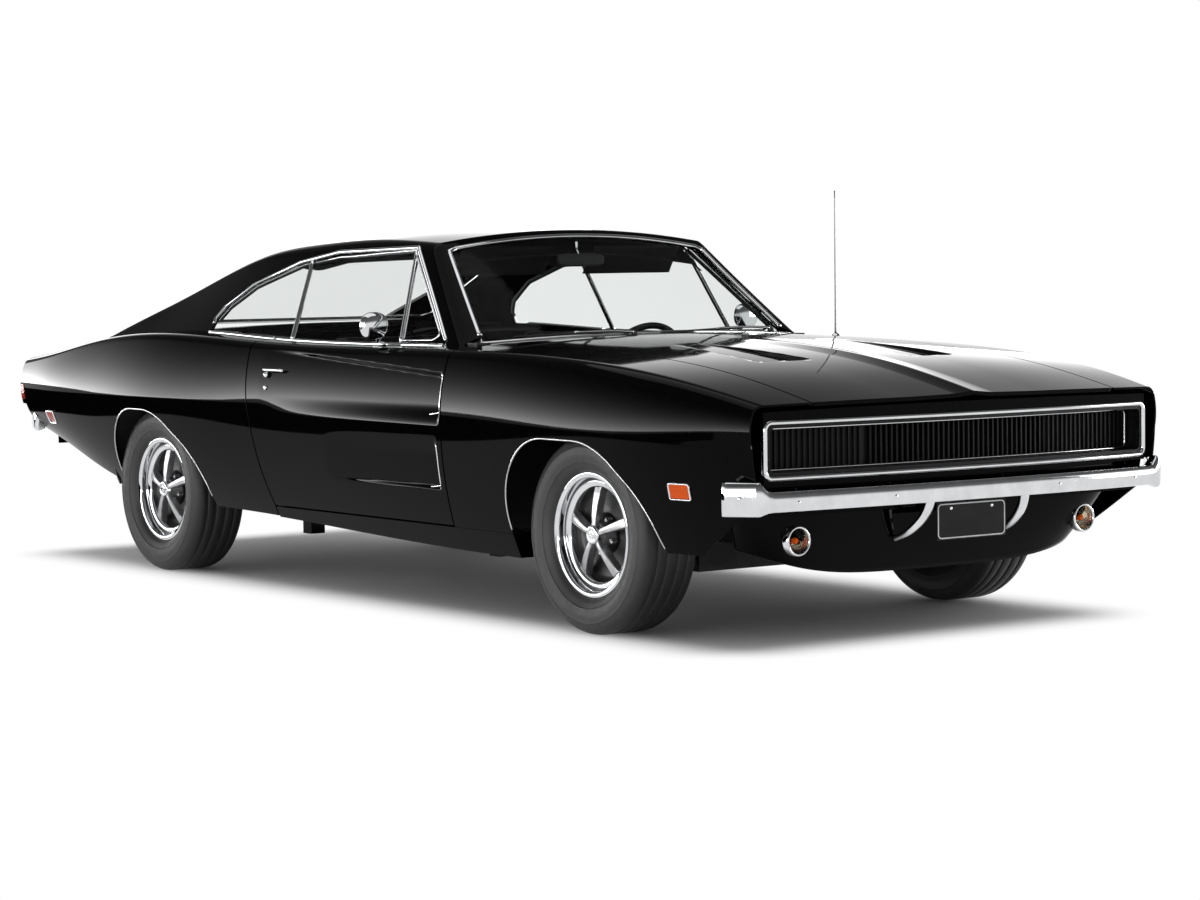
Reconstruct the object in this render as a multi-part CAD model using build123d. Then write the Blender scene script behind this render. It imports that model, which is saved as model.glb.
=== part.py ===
"""Two-door fastback muscle car of the late nineteen-sixties, built as separate panels, glass, running gear and cabin.

Millimetres. +X is forward, +Y is the car's left, +Z is up. The origin is on the ground, midway between the bumpers.
"""

import math
import os

from build123d import *

# Overall stance
LENGTH = 5282.0
WHEELBASE = 2972.0
FRONT_AXLE_X = 1671.0
REAR_AXLE_X = FRONT_AXLE_X - WHEELBASE
WHEEL_Y = 770.0  # wheel centre plane to the car's centre plane
TYRE_RADIUS = 335.0
TYRE_WIDTH = 240.0
FRONT_X = LENGTH / 2
REAR_X = -LENGTH / 2

# Sheet, gaps and clearances
SHEET = 20.0  # outer panel, with its hem
GAP = 6.0  # seam between two panels
SEAT_GAP = 0.3  # a piece that lies on its seat
RUN_GAP = 0.06  # a pin in its bore
GLASS = 6.0
PILLAR = 45.0

# Lower body, one row a station
# x, sill half-width, sill height, crease half-width, crease height, shoulder half-width, shoulder height, crown height
BODY_STATIONS = [
    (2660.0, 770.0, 320.0, 868.0, 650.0, 862.0, 768.0, 786.0),
    (2255.0, 850.0, 285.0, 945.0, 668.0, 908.0, 853.0, 876.0),
    (1700.0, 872.0, 240.0, 970.0, 683.0, 916.0, 914.0, 944.0),
    (1190.0, 872.0, 232.0, 957.0, 692.0, 908.0, 934.0, 972.0),
    (300.0, 862.0, 252.0, 942.0, 704.0, 895.0, 938.0, 980.0),
    (-500.0, 858.0, 280.0, 947.0, 713.0, 896.0, 950.0, 986.0),
    (-1260.0, 856.0, 305.0, 973.0, 716.0, 906.0, 972.0, 1000.0),
    (-1783.0, 842.0, 375.0, 950.0, 714.0, 896.0, 940.0, 966.0),
    (-2250.0, 812.0, 490.0, 908.0, 710.0, 866.0, 880.0, 908.0),
    (-2620.0, 770.0, 560.0, 846.0, 705.0, 812.0, 846.0, 878.0),
]
LOWER_BULGE = 20.0  # how far the side bows out below the crease
UPPER_BULGE = 12.0  # and above it
SHOULDER_ROUND = 34.0

# Roof and sail panels, one row a station
# x, belt half-width, roof-edge half-width, roof-edge height, crown height
ROOF_STATIONS = [
    (405.0, 836.0, 628.0, 1312.0, 1362.0),
    (0.0, 838.0, 622.0, 1330.0, 1381.0),
    (-500.0, 838.0, 616.0, 1316.0, 1364.0),
    (-842.0, 836.0, 608.0, 1288.0, 1318.0),
    (-1122.0, 834.0, 612.0, 1228.0, 1252.0),
    (-1498.0, 826.0, 640.0, 1116.0, 1136.0),
    (-1960.0, 800.0, 720.0, 966.0, 984.0),
    (-2080.0, 790.0, 745.0, 921.0, 937.0),
]
# Windshield and its pillars, the same columns
SCREEN_STATIONS = [
    (405.0, 836.0, 628.0, 1312.0, 1362.0),
    (600.0, 836.0, 702.0, 1130.0, 1226.0),
    (790.0, 838.0, 772.0, 962.0, 1080.0),
    (915.0, 840.0, 818.0, 852.0, 978.0),
]
BELT_Z = 830.0
ROOF_ROUND = 55.0
PILLAR_FOOT_Z = 958.0
CABIN_HALF = 765.0  # inner face of the doors and quarters
SAIL_SPLIT_X = -842.0
WALL_END_X = -800.0  # rear end of the thick cabin wall
SHELF_X = -1150.0  # front edge of the shelf behind the rear seat
WINDOW_HEAD_X = -800.0
WINDOW_HEAD_Z = 1296.0
WINDOW_FOOT_X = -1478.0
WINDOW_FOOT_Z = 1002.0

# Seams
DOOR_FRONT_X = 907.0
DOOR_BOTTOM_Z = 322.0
DOOR_REAR = [(-486.0, 1010.0), (-449.0, 713.0), (-400.0, 460.0), (-362.0, DOOR_BOTTOM_Z)]
DOOR_SKIN = 8.0
SILL_END = (-325.0, 0.0)
DOOR_SETBACK_X = 850.0
HOOD_SEAM_Y = 664.0
HOOD_REAR_X = 1062.0
LID_SEAM_Y = 570.0
LID_FRONT_X = -1560.0
LID_REAR_X = -2530.0
LIFT_GAP = 14.0  # seam at the hinged edge of the hood and the trunk lid
NOSE_CENTRE_X = 2605.0
NOSE_CORNER_X = 2556.0
NOSE_CORNER_Y = 900.0
SAIL_Y = LID_SEAM_Y + GAP

# Side windows, as corner points in the side view that are then rounded
SIDE_OPENING = [(690, 900), (690, 966), (305, 1302), (-243, 1291), (-520, 1254), (-850, 1165), (-1012, 1082),
                (-1062, 1028), (-1010, 900)]
SIDE_ROUND = 14.0
DIVIDER_LOW_X = -391.0
DIVIDER_HIGH_X = -447.0
GLASS_FOOT_Y = 776.0  # side glass at the belt line
GLASS_FOOT_Z = 945.0
GLASS_LEAN = 0.43  # inward per unit of height

# Wheel openings in the sides, as corner points that are then rounded
FRONT_ARCH = [(1300, 60), (1264, 470), (1420, 655), (1830, 655), (2060, 470), (2190, 60)]
REAR_ARCH = [(-1640, 60), (-1618, 480), (-1480, 666), (-1180, 666), (-890, 480), (-790, 60)]
ARCH_ROUND = 120.0
WHEELHOUSE_R = 432.0
WHEELHOUSE_X = REAR_AXLE_X + 20.0
WHEELHOUSE_Y = 602.0
WHEELHOUSE_WALL = 12.0

# Jacking pads under the sills
JACK_X = (-180.0, 1080.0)
JACK_Y = 815.0
JACK_Z = 222.0
JACK_PAD = 60.0

# Hinges
DOOR_PIN = (987.0, 918.0)
DOOR_PIN_Z = [(545.0, 605.0), (690.0, 750.0)]  # foot and head of each barrel
DOOR_NECK = [(-43.0, -74.0), (-90.0, -62.0), (-147.0, -62.0)]  # the leaf's bends from the pin, forward and outward
FENDER_RELIEF = 70.0  # thin edge of the fender ahead of the door pin
PIN_R = 5.0
BARREL_R = 9.0
LEAF = 8.0
NECK_WIDTH = 12.0
HOOD_PIN = (1000.0, 924.0)
HOOD_NECK = [(35.0, -48.0), (84.0, -9.0), (112.0, 60.0)]  # an arm's bends from the pin, away from it and up
LID_PIN = (-1510.0, 938.0)
LID_NECK = [(13.0, -47.0), (73.0, -25.0), (100.0, 60.0)]
LIP = 40.0  # thin edge of a lid along its seam
LIFT_ARM_Y = 470.0
LIFT_ARM_WIDTH = 24.0

# Hollows pressed into the doors and the hood: corner points, deepest at the first edge, and where they run out
DOOR_HOLLOWS = [
    ([(842.0, 702.0), (842.0, 856.0), (-300.0, 922.0), (-300.0, 710.0)], -300.0, 22.0),
    ([(836.0, 455.0), (836.0, 598.0), (-60.0, 560.0), (-60.0, 500.0)], -60.0, 13.0),
]
HOLLOW_ROUND = 12.0
SCOOP_X = (1566.0, 2097.0)
SCOOP_Y = (232.0, 424.0)
SCOOP_DEPTH = 12.0
SCOOP_ROUND = 40.0

# Structure below and inside
FLOOR_Z = 290.0
FLOOR = 18.0
TUNNEL_HALF = 150.0
TUNNEL_Z = 400.0
KICK_X = -900.0
KICK_Z = 560.0
TRUNK_STEP_X = -1700.0
TRUNK_Z = 448.0
TRUNK_HALF = 560.0
FIREWALL_X = 860.0
FIREWALL = 20.0
POST_X = 770.0
POST_CLEAR = 8.0  # cabin wall to door post
POST_HALF = CABIN_HALF - POST_CLEAR
POST = 60.0
APRON_Y = 445.0
APRON = 14.0
APRON_SHELF_Z = 705.0
APRON_FLANGE_Y = 690.0
RAIL_WIDTH = 60.0
RAIL_HEIGHT = 110.0
RAIL_Z = 298.0

# Nose, grille and lamps
NOSE_DEPTH = 90.0
NOSE_SET = 10.0  # nose panel behind the front edge of hood and fenders
NOSE_LOW_Z = 440.0
NOSE_STEP = 55.0  # the panel steps back behind the bumper
NOSE_STEP_Z = 545.0
NOSE_HALF = 838.0
GRILLE_HALF = 826.0
GRILLE_LOW_Z = 568.0
GRILLE_HIGH_Z = 730.0
GRILLE_ROUND = 18.0
GRILLE_SET = 62.0  # face of the bars behind the nose panel
GRILLE_DEPTH = 14.0
GRILLE_BACK = 8.0
GRILLE_FRAME = 12.0
BAR_PITCH = 22.0
BAR = 6.0
LAMP_DOOR_Y = 393.0
VALANCE_LOW = (2408.0, 222.0)
VALANCE_HALF = 770.0
TURN_LAMP_Y = 631.0
TURN_LAMP_Z = 352.0
TURN_LAMP_R = 46.0
TURN_LAMP_DEPTH = 60.0

# Bumpers
FRONT_BUMPER_Z = (452.0, 526.0)
REAR_BUMPER_Z = (525.0, 640.0)
BUMPER_HALF = 890.0
BUMPER_BACK = 100.0  # how far a bumper's end wraps round the corner
BUMPER_DEPTH = 52.0
BUMPER_SWEEP = 46.0  # how far the middle leads the corner
BUMPER_ROUND = 60.0
REAR_BUMPER_HALF = 850.0
GUARD_Y = 235.0
GUARD_WIDTH = 46.0
GUARD_Z = (300.0, 540.0)
BRACKET_Y = 380.0
PLATE_HALF = 152.0
PLATE_Z = 330.0
PLATE = 3.0

# Tail
TAIL_FACE_X = -2572.0
TAIL_WALL = 18.0
TAIL_LOW_Z = 470.0
TAIL_LOW_X = -2515.0
TAIL_LAMP_Y = (210.0, 720.0)
TAIL_LAMP_Z = (688.0, 788.0)
TAIL_LAMP_DEPTH = 22.0

# Trim on the skin: centre x, centre z, length, height
FRONT_MARKER = (2245.0, 513.0, 84.0, 44.0)
REAR_MARKER = (-2249.0, 600.0, 84.0, 44.0)
HANDLE = (-256.0, 839.0, 132.0, 20.0)
MARKER_PROUD = 7.0
HANDLE_PROUD = 26.0
MIRROR_AT = (361.0, 872.0, 1016.0)
MIRROR_FOOT = (330.0, 822.0)
MIRROR_SIZE = (62.0, 118.0, 78.0)
ANTENNA_AT = (948.0, 838.0)
ANTENNA_TOP = 1500.0
ANTENNA_R = 2.5
WIPER_R = 5.0

# Wheels
TYRE_BULGE_R = 270.0  # widest part of the sidewall
TYRE_EDGE_R = 318.0
TYRE_SHOULDER = 42.0
TYRE_SEAT = 0.8
TYRE_BEAD = 8.0
RIM_LIP_R = 212.0
RIM_BARREL_R = 186.0
RIM_HALF = 92.0
RIM_WALL = 7.0
DISC_Y = 26.0  # face of the spokes outside the wheel's middle plane
HUB_R = 70.0
CAP_R = 34.0
SPOKES = 5
SPOKE_WIDTH = 64.0
SPOKE = 14.0
DRUM_R = 140.0
DRUM_INNER_Y = -14.0
SPINDLE_R = 22.0
KINGPIN_Y = 715.0
KINGPIN_R = 14.0
BALL_JOINT_Z = 118.0  # above and below the axle
ARM = 20.0
ARM_RING_R = 30.0

# Running gear and what hangs below
CROSSMEMBER_X = (1600.0, 1742.0)
CROSSMEMBER_Z = (188.0, RAIL_Z)
ENGINE_X = (1010.0, 1850.0)
ENGINE_HALF = 270.0
ENGINE_Z = 800.0
GEARBOX_X = 330.0
GEARBOX_HALF = 118.0
GEARBOX_Z = 372.0
AXLE_R = 38.0
DIFF_R = 112.0
SHAFT_R = 34.0
SPRING_Y = 500.0
SPRING_WIDTH = 62.0
SPRING = 26.0
SPRING_X = (-620.0, -2030.0)
TANK_X = (-1790.0, -2380.0)
TANK_HALF = 370.0
TANK_Z = 300.0
PIPE_R = 28.0
MUFFLER_R = 62.0
EXHAUST_Y = 300.0
TAILPIPE_Y = 432.0

# Cabin
DASH_TOP_Z = 905.0
WHEEL_AT = (322.0, 372.0, 812.0)  # steering wheel's middle
WHEEL_RAKE = 24.0
WHEEL_RIM_R = 195.0
WHEEL_RIM = 13.0
COLUMN_R = 30.0
COLUMN_PIN_R = 10.0
SEAT_Y = (190.0, 690.0)


def block(x0, x1, y0, y1, z0, z1):
    """An upright box between two corners."""
    return Pos((x0 + x1) / 2, (y0 + y1) / 2, (z0 + z1) / 2) * Box(abs(x1 - x0), abs(y1 - y0), abs(z1 - z0))


def plate_xz(outline, y0, y1, radius=0.0):
    """An outline in the side view, carried across from y0 to y1."""
    line = FilletPolyline(*outline, radius=radius, close=True) if radius else Polyline(*outline, close=True)
    face = make_face(Plane.XZ * line)
    return Pos(0, max(y0, y1), 0) * extrude(face, abs(y1 - y0), dir=(0, -1, 0))


def plate_xy(outline, z0, z1, radius=0.0):
    """An outline in the plan view, carried up from z0 to z1."""
    line = FilletPolyline(*outline, radius=radius, close=True) if radius else Polyline(*outline, close=True)
    return Pos(0, 0, z0) * extrude(make_face(line), z1 - z0, dir=(0, 0, 1))


def rod(start, end, radius):
    """A round bar between two points."""
    a, b = Vector(*start), Vector(*end)
    return extrude(Plane(a, z_dir=b - a) * Circle(radius), (b - a).length)


def bent_bar(points, width):
    """A flat bar of even width through a row of plan points, round at its bends and ends."""
    bar = None
    for (x0, y0), (x1, y1) in zip(points[:-1], points[1:]):
        turn = math.degrees(math.atan2(y1 - y0, x1 - x0))
        run = Pos((x0 + x1) / 2, (y0 + y1) / 2) * Rot(0, 0, turn) * Rectangle(math.hypot(x1 - x0, y1 - y0), width)
        run += [Pos(x0, y0) * Circle(width / 2), Pos(x1, y1) * Circle(width / 2)]
        bar = run if bar is None else bar + run
    return bar


def both(part):
    """A right-hand piece with its left-hand mirror, as two solids."""
    return Compound(children=[*part.solids(), *mirror(part, about=Plane.XZ).solids()])


def bowed(start, end, bulge):
    """The middle of an arc from start to end that bows out to the right of its chord."""
    (ya, za), (yb, zb) = start, end
    length = math.hypot(yb - ya, zb - za)
    return ((ya + yb) / 2 + bulge * (zb - za) / length, (za + zb) / 2 - bulge * (yb - ya) / length)


def body_section(row, inset):
    """One cross-section of the lower body, taken in by inset and then left open below."""
    x, sill_y, sill_z, crease_y, crease_z, shoulder_y, shoulder_z, crown_z = row
    sill = (sill_y - inset, sill_z - 3 * inset)
    crease = (crease_y - inset, crease_z)
    shoulder = (shoulder_y - inset, shoulder_z - inset)
    crown = (0, crown_z - inset)

    def left(point):
        return (-point[0], point[1])

    low, high = bowed(sill, crease, LOWER_BULGE), bowed(crease, shoulder, UPPER_BULGE)
    edges = [
        Line(left(sill), sill),
        ThreePointArc(sill, low, crease),
        ThreePointArc(crease, high, shoulder),
        ThreePointArc(shoulder, crown, left(shoulder)),
        ThreePointArc(left(shoulder), left(high), left(crease)),
        ThreePointArc(left(crease), left(low), left(sill)),
    ]
    face = make_face(Curve() + edges)
    corners = [v for v in face.vertices() if abs(v.Y - shoulder[1]) < 1 and abs(abs(v.X) - shoulder[0]) < 1]
    return Plane.YZ.offset(x) * fillet(corners, SHOULDER_ROUND)


def roof_section(row, inset):
    """One cross-section of the cabin above the belt, taken in by inset."""
    x, belt_y, edge_y, edge_z, crown_z = row
    belt = (belt_y - inset, BELT_Z - 3 * inset)
    edge = (edge_y - inset, edge_z - inset)
    edges = [
        Line((-belt[0], belt[1]), belt),
        Line(belt, edge),
        ThreePointArc(edge, (0, crown_z - inset), (-edge[0], edge[1])),
        Line((-edge[0], edge[1]), (-belt[0], belt[1])),
    ]
    face = make_face(Curve() + edges)
    corners = [v for v in face.vertices() if abs(v.Y - edge[1]) < 1]
    return Plane.YZ.offset(x) * fillet(corners, min(ROOF_ROUND, 0.4 * (edge[1] - belt[1])))


def body_form(inset=0.0):
    return loft([body_section(row, inset) for row in BODY_STATIONS])


def roof_form(inset=0.0):
    return loft([roof_section(row, inset) for row in ROOF_STATIONS])


def screen_form(inset=0.0):
    return loft([roof_section(row, inset) for row in SCREEN_STATIONS])


def plate_yz(outline, x0, x1, radius=0.0):
    """An outline in the front view, carried forward from x0 to x1."""
    line = FilletPolyline(*outline, radius=radius, close=True) if radius else Polyline(*outline, close=True)
    return Pos(min(x0, x1), 0, 0) * extrude(make_face(Plane.YZ * line), abs(x1 - x0), dir=(1, 0, 0))


def behind_nose(setback):
    """Everything behind the bowed front edge, moved back by setback."""
    side = 2 * NOSE_CORNER_Y
    sag = (NOSE_CENTRE_X - NOSE_CORNER_X) * (side / NOSE_CORNER_Y) ** 2
    front = ThreePointArc(
        (NOSE_CENTRE_X - sag - setback, -side), (NOSE_CENTRE_X - setback, 0), (NOSE_CENTRE_X - sag - setback, side)
    )
    back = Polyline((front @ 1), (REAR_X, side), (REAR_X, -side), (front @ 0))
    return extrude(make_face(front + back), ANTENNA_TOP, dir=(0, 0, 1))


def right_side(inner_y, x0, x1, z0=0.0, z1=ANTENNA_TOP):
    """The space outside inner_y on the right."""
    return block(x0, x1, -2 * NOSE_CORNER_Y, -inner_y, z0, z1)


def door_rear_line(offset):
    return [(x + offset, z) for x, z in DOOR_REAR]


def proud(place, height):
    """A plate that stands out from the right-hand skin by height."""
    x, z, length, tall = place
    area = block(x - length / 2, x + length / 2, -2 * NOSE_CORNER_Y, -CABIN_HALF, z - tall / 2, z + tall / 2)
    return (body_form(-height) & area) - body_form(-SEAT_GAP)


OUTER = body_form()
INNER = body_form(SHEET)
LINER = body_form(SHEET + SEAT_GAP)
SHELL = OUTER - INNER
WIDE = 2 * NOSE_CORNER_Y
HIGH = ANTENNA_TOP
NODES = {}


# Fenders: skin and top flange behind the nose edge, open over the wheel, standing on the sill
fender = SHELL & right_side(HOOD_SEAM_Y + GAP / 2, DOOR_FRONT_X + GAP, NOSE_CENTRE_X) & behind_nose(0)
fender -= plate_xz(FRONT_ARCH, -WIDE, WIDE, ARCH_ROUND)
fender -= block(0, FRONT_ARCH[2][0], -WIDE, WIDE, 0, DOOR_BOTTOM_Z - GAP)
fender -= block(FRONT_ARCH[3][0], NOSE_CENTRE_X, -WIDE, WIDE, 0, BODY_STATIONS[1][2] + SHEET)
fender -= block(FRONT_X - BUMPER_SWEEP - BUMPER_BACK - GAP, FRONT_X, -WIDE, WIDE, FRONT_BUMPER_Z[0] - GAP, NOSE_STEP_Z)
fender -= body_form(DOOR_SKIN) & block(0, DOOR_PIN[0] + FENDER_RELIEF, -WIDE, 0, 0, HIGH)
NODES["fenders"] = both(fender)

# Sills: rocker beams under the doors and the rear of the fenders
sill = OUTER & right_side(CABIN_HALF, KICK_X, FRONT_ARCH[1][0] + SHEET, 0, DOOR_BOTTOM_Z - GAP)
sill -= plate_xz(FRONT_ARCH, -WIDE, WIDE, ARCH_ROUND)
sill_end = [(DOOR_REAR[-1][0], DOOR_BOTTOM_Z), SILL_END]
sill &= plate_xz([*sill_end, (NOSE_CENTRE_X, SILL_END[1]), (NOSE_CENTRE_X, DOOR_BOTTOM_Z)], -WIDE, 0)
for x in JACK_X:
    sill += block(x - JACK_PAD / 2, x + JACK_PAD / 2, -JACK_Y - JACK_PAD / 2, -JACK_Y + JACK_PAD / 2, JACK_Z,
                  DOOR_BOTTOM_Z - GAP)
NODES["sills"] = both(sill)

# Quarter panels: skin, the wall beside the rear seat, and the sail panel that runs up to the roof
quarter_edge = [*door_rear_line(-GAP), *((x - SEAT_GAP, z) for x, z in sill_end)]
behind_door = plate_xz([*quarter_edge, (-2 * WIDE, SILL_END[1]), (-2 * WIDE, DOOR_REAR[0][1] + HIGH)], -WIDE, 0)
quarter = SHELL & right_side(SAIL_Y, BODY_STATIONS[-1][0], 0)
quarter -= block(SHELF_X, 0, -CABIN_HALF, 0, 0, HIGH)
quarter += OUTER & right_side(CABIN_HALF, WALL_END_X, 0)
quarter &= behind_door
sail = (roof_form() & right_side(SAIL_Y, ROOF_STATIONS[-1][0], SAIL_SPLIT_X, BELT_Z)) - body_form(SHEET / 2)
sail -= roof_form(PILLAR) & right_side(0, SHELF_X, 0)
sail -= plate_xz(SIDE_OPENING, -WIDE, WIDE, SIDE_ROUND)
quarter += sail
quarter -= plate_xz(REAR_ARCH, -WIDE, WIDE, ARCH_ROUND)
quarter -= block(REAR_X, REAR_X + BUMPER_SWEEP + BUMPER_BACK + GAP, -WIDE, WIDE, 0, REAR_BUMPER_Z[1] + GAP)
NODES["quarter_panels"] = both(quarter)

# Roof: skin with its rails, and the windshield pillars down to the posts
roof = (roof_form() - roof_form(PILLAR)) & block(SAIL_SPLIT_X, HIGH, -WIDE, WIDE, PILLAR_FOOT_Z, HIGH)
screen_shell = (screen_form() - screen_form(PILLAR)) & block(0, HIGH, -WIDE, WIDE, PILLAR_FOOT_Z, HIGH)
screen_opening = plate_xy([(436, -578), (436, 578), (950, 742), (950, -742)], 0, HIGH)
roof += screen_shell - screen_opening
roof -= plate_xz(SIDE_OPENING, -WIDE, WIDE, SIDE_ROUND)
roof -= Pos(0, 0, 0) * plate_xz(
    [(WINDOW_HEAD_X - 40, WINDOW_HEAD_Z - 40), (WINDOW_HEAD_X + 30, WINDOW_HEAD_Z - 40), (SAIL_SPLIT_X - 60, HIGH),
     (SAIL_SPLIT_X - 90, HIGH)], -SAIL_Y, SAIL_Y)
NODES["roof"] = roof

screen_band = screen_form(SHEET / 2) - screen_form(SHEET / 2 + GLASS)
glass_area = plate_xy([(436.3, -577.5), (436.3, 577.5), (905, 727), (905, -727)], 0, HIGH)
foot_y = POST_HALF - POST - SEAT_GAP
feet = block(POST_X, FIREWALL_X + SEAT_GAP, -WIDE, WIDE, 0, PILLAR_FOOT_Z + SEAT_GAP)
feet -= block(0, HIGH, -foot_y, foot_y, 0, HIGH)
NODES["windshield"] = (screen_band & glass_area) - Pos(0, 0, SEAT_GAP) * OUTER - feet

slope = math.atan2(WINDOW_HEAD_Z - WINDOW_FOOT_Z, WINDOW_HEAD_X - WINDOW_FOOT_X)
window_length = math.hypot(WINDOW_HEAD_Z - WINDOW_FOOT_Z, WINDOW_HEAD_X - WINDOW_FOOT_X)
window = Pos((WINDOW_HEAD_X + WINDOW_FOOT_X) / 2, 0, (WINDOW_HEAD_Z + WINDOW_FOOT_Z) / 2)
window *= Rot(0, -math.degrees(slope), 0) * Box(window_length, 2 * (SAIL_Y - SEAT_GAP), GLASS)
NODES["rear_window"] = window


def side_glass(low_front, low_rear, margin, lift):
    """Leaning glass on the right between two upright lines, each given as its x at the foot and at the head."""
    foot, head = GLASS_FOOT_Z - 40, SIDE_OPENING[2][1]
    lean = GLASS_LEAN * (head - foot)
    y = -GLASS_FOOT_Y - GLASS_LEAN * 40
    sheet = plate_yz([(y, foot), (y + lean, head), (y + lean + GLASS, head), (y + GLASS, foot)], -WIDE, WIDE)
    opening = offset(make_face(Plane.XZ * FilletPolyline(*SIDE_OPENING, radius=SIDE_ROUND, close=True)), -margin)
    sheet &= Pos(0, WIDE, 0) * extrude(opening, 2 * WIDE, dir=(0, -1, 0))
    band = plate_xz([(low_front[0], foot), (low_front[1], head), (low_rear[1], head), (low_rear[0], foot)], -WIDE, WIDE)
    return (sheet & band) - Pos(0, 0, lift) * OUTER


BEYOND = 1200.0
door_glass = side_glass((BEYOND, BEYOND), (DIVIDER_LOW_X + GAP / 2, DIVIDER_HIGH_X + GAP / 2), GAP, SEAT_GAP)
rear_glass = side_glass((DIVIDER_LOW_X - GAP / 2, DIVIDER_HIGH_X - GAP / 2), (-BEYOND, -BEYOND), SEAT_GAP, GAP)
NODES["quarter_windows"] = both(rear_glass)

# Doors: as thick as the cabin wall, with a thin leading edge that clears the fender
door_area = plate_xz(
    [(DOOR_FRONT_X, DOOR_REAR[0][1]), (DOOR_FRONT_X, DOOR_BOTTOM_Z), *reversed(door_rear_line(0))], -WIDE, 0)
door = OUTER & door_area & right_side(CABIN_HALF, -WIDE, WIDE)
door -= body_form(DOOR_SKIN) & block(DOOR_SETBACK_X, HIGH, -WIDE, 0, 0, HIGH)
for outline, end_x, depth in DOOR_HOLLOWS:
    lean = math.degrees(math.atan2(depth, outline[0][0] - end_x))
    bottom = OUTER.rotate(Axis((end_x, -CABIN_HALF, 0), (0, 0, 1)), lean)
    door -= plate_xz(outline, -WIDE, 0, HOLLOW_ROUND) - bottom
pin_x, pin_y = DOOR_PIN
leaf = bent_bar([(pin_x, -pin_y), *((pin_x + ahead, -pin_y - out) for ahead, out in DOOR_NECK)], NECK_WIDTH)
brackets = None
for foot, head in DOOR_PIN_Z:
    middle = (foot + head) / 2
    door += Pos(0, 0, foot) * extrude(leaf, middle - GAP / 2 - foot, dir=(0, 0, 1))
    door += Pos(pin_x, -pin_y, (foot + middle - GAP / 2) / 2) * Cylinder(BARREL_R, middle - GAP / 2 - foot)
    door -= Pos(pin_x, -pin_y, middle) * Cylinder(PIN_R + RUN_GAP, 2 * (head - foot))
    bracket = block(FIREWALL_X, pin_x, -pin_y, -pin_y + LEAF, middle + GAP / 2, head)
    bracket += block(FIREWALL_X, FIREWALL_X + LEAF, -pin_y, -POST_HALF + LEAF, middle + GAP / 2, head)
    bracket += Pos(pin_x, -pin_y, (head + middle + GAP / 2) / 2) * Cylinder(BARREL_R, head - middle - GAP / 2)
    bracket += Pos(pin_x, -pin_y, middle) * Cylinder(PIN_R, head - foot)
    brackets = bracket if brackets is None else brackets + bracket
NODES["door_right"] = door
NODES["door_left"] = mirror(door, about=Plane.XZ)
NODES["door_glass_right"] = door_glass
NODES["door_glass_left"] = mirror(door_glass, about=Plane.XZ)

# Mirror and pull handle of a door
mirror_x, mirror_y, mirror_z = MIRROR_AT
head_box = fillet(Box(*MIRROR_SIZE).edges(), MIRROR_SIZE[0] / 3)
mirror_head = Pos(mirror_x, -mirror_y, mirror_z) * head_box
stalk = rod((*MIRROR_FOOT[:1], -MIRROR_FOOT[1], BODY_STATIONS[4][6]), (mirror_x, -mirror_y, mirror_z), 11)
fitting = (mirror_head + stalk) - Pos(0, 0, SEAT_GAP) * OUTER
fittings = Compound(children=[*fitting.solids(), *proud(HANDLE, HANDLE_PROUD).solids()])
NODES["door_fittings_right"] = fittings
NODES["door_fittings_left"] = mirror(fittings, about=Plane.XZ)

# Hood with its two scoops, and trunk lid, both with lift arms
hood_area = block(HOOD_REAR_X, HIGH * 2, -HOOD_SEAM_Y + GAP / 2, HOOD_SEAM_Y - GAP / 2, 0, HIGH)
hood = SHELL & hood_area & behind_nose(0)
hood -= body_form(DOOR_SKIN) & block(HOOD_REAR_X, HOOD_REAR_X + LIP, -WIDE, WIDE, 0, HIGH)
scoop_fall = math.degrees(math.atan2(SCOOP_DEPTH, SCOOP_X[1] - SCOOP_X[0]))
scoop_floor = OUTER.rotate(Axis((SCOOP_X[1], 0, BODY_STATIONS[1][7]), (0, 1, 0)), -scoop_fall)
for side in (1, -1):
    scoop = [(x, side * y) for x, y in ((SCOOP_X[0], SCOOP_Y[0]), (SCOOP_X[1], SCOOP_Y[0]), (SCOOP_X[1], SCOOP_Y[1]),
                                        (SCOOP_X[0], SCOOP_Y[1]))]
    hood -= plate_xy(scoop, 0, HIGH, SCOOP_ROUND) - scoop_floor
lid_area = block(LID_REAR_X, LID_FRONT_X, -LID_SEAM_Y, LID_SEAM_Y, 0, HIGH)
lid = SHELL & lid_area
lid -= body_form(DOOR_SKIN) & block(LID_FRONT_X - LIP, LID_FRONT_X, -WIDE, WIDE, 0, HIGH)


def with_arms(panel, pin, neck, way):
    """A lid with two necked arms that reach under its fixed neighbour to the hinge pins; way is the lid's side of them."""
    x, z = pin
    bar = Plane.XZ * bent_bar([pin, *((x + way * away, z + up) for away, up in neck)], NECK_WIDTH)
    bar += Plane.XZ * Pos(x, z) * Circle(BARREL_R)
    for side in (1, -1):
        ends = (side * LIFT_ARM_Y, side * (LIFT_ARM_Y + LIFT_ARM_WIDTH))
        arm = Pos(0, max(ends), 0) * extrude(bar, LIFT_ARM_WIDTH, dir=(0, -1, 0))
        panel += arm & INNER
    return panel - rod((x, -WIDE, z), (x, WIDE, z), PIN_R + RUN_GAP)


NODES["hood"] = with_arms(hood, HOOD_PIN, HOOD_NECK, 1)
NODES["trunk_lid"] = with_arms(lid, LID_PIN, LID_NECK, -1)


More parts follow.
